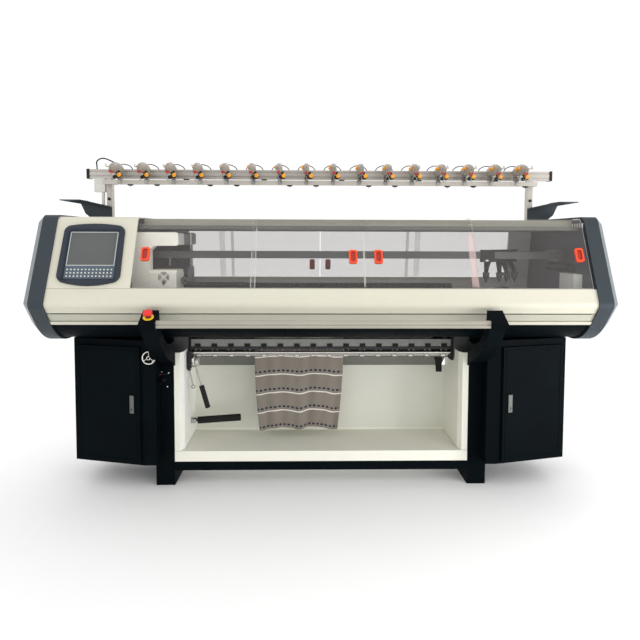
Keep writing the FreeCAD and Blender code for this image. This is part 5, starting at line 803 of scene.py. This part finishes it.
def feeder_lead():
    """Short stiff lead that bows from the end of the beam to the first tensioner."""
    curve = bpy.data.curves.new("feeder_lead", "CURVE")
    curve.dimensions = "3D"
    curve.resolution_u = 16
    curve.bevel_depth = 0.0035
    curve.bevel_resolution = 4
    curve.use_fill_caps = True
    spline = curve.splines.new("NURBS")
    spline.points.add(len(lead_points) - 1)
    for control, place in zip(spline.points, lead_points):
        control.co = (*place, 1.0)
    spline.order_u = 3
    spline.use_endpoint_u = True
    curve.materials.append(finishes["hose"])
    lead = bpy.data.objects.new("feeder_lead", curve)
    add_to_scene(lead)
    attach(lead, "machine")


# ---- controls

def emergency_parts():
    """Red mushroom head with a finger groove, and the yellow collar under it."""
    tilt = math.radians(29.002)
    axis = Vector((0, -math.sin(tilt), math.cos(tilt)))
    foot = Vector((-0.745, -0.444, 0.8735))
    form = Form("red")
    form.lathe(foot, axis, [(12.5, 15.2), (16.2, 15.8), (19.8, 18.5), (20.2, 21.5), (19.6, 23.8),
        (20.2, 26.2), (19.2, 29.2), (15, 31.2), (9, 32), (0.9, 32.2)], 40)
    form.piece("emergency_mushroom", ["emergency_head"], "emergency_head")
    form = Form("yellow")
    form.lathe(foot, axis, [(22.8, 0.2), (23.1, 1), (22.6, 2.6), (21.2, 3), (15, 3)], 40)
    form.piece("emergency_ring", ["emergency_collar"])


def hand_wheel():
    """Plated rim on three spokes with a hub and a small crank knob."""
    centre = Vector((-0.812, -0.196, 0.65))
    toward = Vector(to_front)

    def out(degrees):
        return Vector((math.cos(math.radians(degrees)), 0, math.sin(math.radians(degrees))))

    form = Form("chrome")
    form.ring(centre, toward, 0.029, 0.0034, 48, 12)
    form.lathe(centre + toward * -0.0078, toward, [(10.6, 0), (11, 1), (11, 12), (8.5, 15), (3, 15.8)], 28)
    for turn in (90, 210, 330):
        form.tube([centre + out(turn) * 0.008, centre + out(turn) * 0.028], 0.0022, 10)
    form.lathe(centre + out(-35) * 0.0275, toward, [(3, 0), (3, 5), (4.6, 6.5), (5, 12), (3.6, 15.2),
        (0.8, 15.8)], 20)
    form.piece("hand_wheel_rim", ["hand_wheel"], "hand_wheel")


# ---- needle beds

def needle_rows():
    """Needles of both beds; each bed's needles lie in one place, at the middle of its length."""
    half = Vector((0.00045, 0, 0))
    form = Form("bright_wire")
    for side in (-1, 1):
        down = Vector((0, side * 0.70711, -0.70711))
        out = Vector((0, side * 0.70711, 0.70711))
        apex = Vector((0, bed_gap_y + side * 0.006, 0.984))
        thick = out * 0.0009
        for i in range(needle_count):
            lift, reach = (0.0012, 0.001) if i % 2 else (0.0006, 0.004)
            ends = [apex + down * far + out * lift for far in (reach, 0.062)]
            form.rings([[end - half, end + half, end + half + thick, end - half + thick]
                        for end in ends], smooth=False)
    form.piece("needle_rows")


# ---- carriage and carriers

def carriage_trim():
    """Fan grille and black knob of the carriage."""
    fan = Vector((-0.7445, -0.165, 1.025))
    form = Form("plate_grey", "gloss_black")
    for radius, reach in ((0.0245, 36), (0.019, 34), (0.0135, 31), (0.0082, 26)):
        for quarter in range(4):
            turns = [math.radians(90 * quarter - reach + 2 * reach * k / 8) for k in range(9)]
            form.tube([fan + Vector((math.cos(turn), 0, math.sin(turn))) * radius for turn in turns],
                0.0013, 6)
    form.finish = "gloss_black"
    form.lathe((-0.7445, -0.165, 0.9985), to_front, [(5.8, 0), (6, 4), (4.6, 6.2), (1, 6.6)], 20)
    form.piece("carriage_fan_guard", body="carriage")


def carriage_back():
    """Dark plates, holes and the pale edge strip of the carriage's rear half."""
    form = Form("plate_grey", "light_metal", "gloss_black", "box_grey")
    form.block((-0.806, 0.15, 1.062), (-0.668, 0.154, 1.172), 0.001)
    form.block((-0.8, 0.128, 1.06), (-0.77, 0.15, 1.205), 0.002)
    form.finish = "light_metal"
    form.block((-0.681, 0.1455, 1.062), (-0.668, 0.15, 1.172), 0.0008)
    form.block((-0.6762, 0.12, 1.176), (-0.6745, 0.16, 1.233), 0.0006)
    form.block((-0.786, 0.118, 1.062), (-0.776, 0.128, 1.128), 0.002)
    form.finish = "gloss_black"
    for k in range(7):
        form.lathe((-0.6745, 0.1455, 1.07 + 0.016 * k), to_front, [(2.4, 0), (2.4, 0.6)], 12)
    for x, z in ((-0.745, 1.085), (-0.745, 1.15), (-0.7, 1.16), (-0.7, 1.078), (-0.76, 1.1)):
        form.lathe((x, 0.15, z), to_front, [(4, 0), (4, 2), (2.2, 3)], 14)
    form.finish = "box_grey"
    form.block((-0.6764, -0.1645, 1.1765), (-0.6748, -0.03, 1.2325), 0.0006)
    form.piece("carriage_back_plates", body="carriage")


def carriage_brush():
    """Black brush wheel beside the carriage, with its bright ring, wire and stem."""
    hub = Vector((-0.664, -0.06, 1.004))
    axis = (0.25, -1, 0.1)
    form = Form("gloss_black", "bright_wire")
    form.lathe(hub, axis, [(4, -6), (20, -4), (21.5, 0), (19, 4), (4, 5)], 28)
    form.finish = "bright_wire"
    form.ring(hub + Vector((0.001, -0.006, 0)), axis, 0.015, 0.0011, 28, 6)
    form.tube(bend([hub + Vector(step) for step in ((-0.012, -0.004, 0.006), (0, -0.012, 0.012),
        (0.014, -0.01, -0.002), (0.026, -0.004, -0.01))], 6), 0.0013, 6)
    form.finish = "gloss_black"
    form.tube([hub + Vector((-0.03, 0.006, -0.004)), hub], 0.0045, 10)
    form.piece("carriage_brush", body="carriage")


def carrier_trim():
    """Yarn tube with a bright tip, fan wings and a broad arm, each inside its carrier's own depth."""
    for index, x in enumerate(carrier_feet_x):
        name = "yarn_carrier_%d" % (index + 1)
        y, z = carrier_first_y + carrier_depth * index, carrier_foot_z
        head_x, head_y = x + carrier_head_shift, carrier_rail_pitch * index

        def wing(*corners):
            return [(x + dx, y - 0.0012, z + dz) for dx, dz in corners]

        form = Form("bright_wire", "rubber", "plate_grey")
        form.tube([(x, y - 0.0024, z + 0.052), (x, y - 0.0024, z + 0.004)], 0.0012, 8)
        form.lathe((x, y, z + 0.006), downwards, [(2, 0), (2.4, 2), (1.6, 5)], 10)
        form.finish = "rubber"
        form.plate(wing((-0.018, 0.05), (-0.016, 0.03), (-0.006, 0.014), (0.006, 0.014), (0.016, 0.03),
            (0.018, 0.05), (0.01, 0.054), (-0.01, 0.054)), (0, 0.0024, 0))
        form.plate(wing((-0.01, 0.053), (0.01, 0.053)) + [
            (head_x + step, head_y - 0.0012, carrier_head_z) for step in (0.016, -0.016)], (0, 0.0024, 0))
        form.finish = "plate_grey"
        for shift in (-0.0105, 0.0105):
            form.plate([(x + step, y - 0.002, z + up) for step, up in ((shift - 0.0028, 0.048),
                (shift * 0.55 - 0.002, 0.022), (shift * 0.55 + 0.002, 0.022), (shift + 0.0028, 0.048))],
                (0, 0.0008, 0))
        form.piece(name + "_tube", body=name)


# ---- windows, stand, screws

def window_lips():
    """Thin clear mouldings on the meeting edges of the front windows, and one broad rose one."""
    # window, x of the edge, depth of the window's track behind the slope, finish
    edges = (("front_window_1", -0.3045, 0.009, "lip_clear"), ("front_window_2", -0.3255, 0.033, "lip_clear"),
             ("front_window_2", 0.1835, 0.033, "lip_clear"), ("front_window_3", 0.1885, 0.033, "lip_clear"),
             ("front_window_3", 0.684, 0.033, "lip_rose"))
    half_widths = {"lip_clear": 0.0018, "lip_rose": 0.016}
    section = ((-1, 0.0003), (-1, -0.0009), (-0.5, -0.0014), (0.5, -0.0014), (1, -0.0009), (1, 0.0003))
    for index, (window, x, inset, finish) in enumerate(edges):
        rings = []
        for t in range(9):
            z = 0.992 + (0.268 - (inset - 0.009)) * t / 8
            y = slope_y(z) + inset / math.cos(front_lean)
            rings.append([(x + across * half_widths[finish], y + out, z) for across, out in section])
        form = Form(finish)
        form.rings(rings)
        form.piece("window_lip_%d" % (index + 1), body=window)


def vent_slats():
    """Pale louvres behind the air slots at the top of the right inner wall."""
    form = Form("light_metal")
    for k in range(9):
        y = -0.21 + 0.026 * k
        form.block((1.2035, y - 0.0048, 1.2625), (1.2058, y + 0.0048, 1.2835), 0.0006)
    form.piece("vent_slats")


def rear_bands():
    """Pale mouldings on the outer edges of the fixed rear windows."""
    lean = math.radians(10.2)
    section = ((-0.016, 0), (0.016, 0), (0.016, 0.0009), (-0.016, 0.0009))
    form = Form("band_clear")
    for side in (-1, 1):
        rings = []
        for t in range(13):
            z = 0.9905 + 0.289 * t / 12
            face_y = 0.49 - (z - 0.98) * math.tan(lean) - 0.0176 / math.cos(lean)
            rings.append([(side * 0.555 + x, face_y + y, z) for x, y in section])
        form.rings(rings, smooth=False)
    form.piece("rear_window_bands")


def apron_seam_shadow():
    """Dark cord along the joint between the apron and its skirt: painted shade for the shaded groove there."""
    form = Form("rubber")
    form.tube([(x, -0.3438, 0.8752) for x in (-1.2, 1.2)], 0.0014, 6)
    form.piece("apron_seam_shadow")


def switch_plate():
    """Dark frame with a red pilot window and a grey bar round the power switch."""
    low_x, high_x, low_z, high_z = -0.7925, -0.7365, 0.5005, 0.5515
    form = Form("plate_grey", "red", "lock_grey")
    for (x0, z0), (x1, z1) in (((low_x, low_z), (low_x + 0.006, high_z)),
                               ((high_x - 0.006, low_z), (high_x, high_z)),
                               ((low_x, high_z - 0.005), (high_x, high_z)),
                               ((low_x, low_z), (high_x, low_z + 0.005))):
        form.block((x0, -0.0972, z0), (x1, -0.0948, z1), 0.0006)
    form.finish = "red"
    form.block((-0.788, -0.0985, 0.542), (-0.777, -0.0965, 0.548), 0.0006)
    form.finish = "lock_grey"
    form.block((-0.77, -0.098, 0.508), (-0.742, -0.0965, 0.512), 0.0006)
    form.piece("switch_plate_frame")


def lever_trim():
    """Black arm beside the release lever's hub, and the light drum beside it."""
    outline = ((-0.6715, 0.646), (-0.652, 0.646), (-0.648, 0.6), (-0.649, 0.566), (-0.655, 0.552),
               (-0.664, 0.547), (-0.6715, 0.558))
    form = Form("gloss_black", "light_metal")
    form.plate([(x, -0.015, z) for x, z in outline], (0, 0.006, 0))
    form.finish = "light_metal"
    form.lathe((-0.64, 0.022, 0.588), (1, 0, 0),
        [(20, 0), (22.5, 1.6), (22.5, 20), (20.5, 21.6), (6, 22)], 32)
    form.piece("takedown_crank")


def screws():
    """Pan-head screws with a socket: dark ones on the legs, bright ones round the power switch."""
    form = Form("chrome", "gloss_black")

    def screw(place, axis, radius):
        form.lathe(place, axis, [(radius, 0), (radius, radius * 0.35), (radius * 0.8, radius * 0.6),
            (radius * 0.45, radius * 0.68), (radius * 0.42, radius * 0.3)], 18)

    form.finish = "gloss_black"
    for side in (-1, 1):
        for z in (0.6, 0.215):
            screw((side * 0.7145, -0.06, z), (-side, 0, 0), 6.0)
    form.finish = "chrome"
    for x, z in ((-0.7777, 0.5616), (-0.7428, 0.556), (-0.7496, 0.4895)):
        screw((x, -0.095, z), to_front, 4.2)
    form.piece("machine_screws")


# ---- knitted piece

def knitted_cloth():
    """The knitted piece hanging from the bed gap: wavy courses, gentle folds that deepen to the hem."""
    columns, rows = 120, 180
    pull_from, folds_from = 0.45, 0.35
    height = fabric_top_z - fabric_hem_z
    # share of the width, and how far a course is lifted there, in millimetres
    marks = [(0, -13.0), (0.22, 5.0), (0.36, 5.0), (0.5, -3.0), (0.7, 11.0), (0.81, 7.0),
             (0.93, -8.0), (1.0, -4.0)]

    def lift(share):
        for (a, low), (b, high) in zip(marks, marks[1:]):
            if a <= share <= b:
                t = (share - a) / (b - a)
                t = t * t * (3 - 2 * t)
                return between(low, high, t) * 0.001
        return 0.0

    mesh = bpy.data.meshes.new("knitted_cloth")
    form = bmesh.new()
    layer = form.loops.layers.uv.new("cloth")
    flat = {}
    grid = []
    for row in range(rows + 1):
        drop = row / rows
        pull = max(0.0, (drop - pull_from) / (1 - pull_from)) ** 2
        left = between(fabric_left_top, fabric_left_hem, pull)
        right = between(fabric_right_top, fabric_right_hem, 0.35 * drop + 0.65 * pull)
        course_z = fabric_top_z - height * drop
        if drop > folds_from:
            deep = 0.25 + 1.15 * (drop - folds_from) / (1 - folds_from)
        else:
            deep = 0.25 * drop / folds_from
        line = []
        for column in range(columns + 1):
            share = column / columns
            x = between(left, right, share)
            z = course_z + lift(share) * min(1.0, 0.9 * deep)
            fold = (math.sin(share * 2 * math.pi * 3.4 + 0.6) * 0.6
                    + math.sin(share * 2 * math.pi * 6.1 + 2.1 + drop * 1.2) * 0.4)
            edge = math.exp(-share / 0.03) + math.exp(-(1 - share) / 0.03)
            y = fabric_y + 0.0085 * deep * fold * min(1.0, 2.2 * drop) + 0.004 * edge * drop
            vertex = form.verts.new((x, y, z))
            flat[vertex] = (between(fabric_left_top, fabric_right_top, share), course_z)
            line.append(vertex)
        grid.append(line)
    for upper, lower in zip(grid, grid[1:]):
        for column in range(columns):
            face = form.faces.new((upper[column], lower[column], lower[column + 1], upper[column + 1]))
            face.smooth = True
            for loop in face.loops:
                loop[layer].uv = flat[loop.vert]
    area = sum(face.calc_area() for face in form.faces)
    form.to_mesh(mesh)
    form.free()
    cloth = bpy.data.objects.new("knitted_cloth", mesh)
    add_to_scene(cloth)
    mesh.materials.append(knitted_wool())
    wall = cloth.modifiers.new("thickness", "SOLIDIFY")
    wall.thickness = fabric_thickness
    wall.offset = 0.0
    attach(cloth, "machine")
    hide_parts("knitted_fabric")


place_camera()
studio()
studio_floor()
feeder_lead()
paint_nodes()
tensioner_shells()
tension_dials()
guide_cups()
guide_wires()
break_springs()
machine_cables()
emergency_parts()
hand_wheel()
needle_rows()
carriage_trim()
carriage_back()
carriage_brush()
carrier_trim()
lever_trim()
window_lips()
vent_slats()
rear_bands()
apron_seam_shadow()
switch_plate()
display_frame()
screws()
knitted_cloth()

bpy.context.view_layer.update()
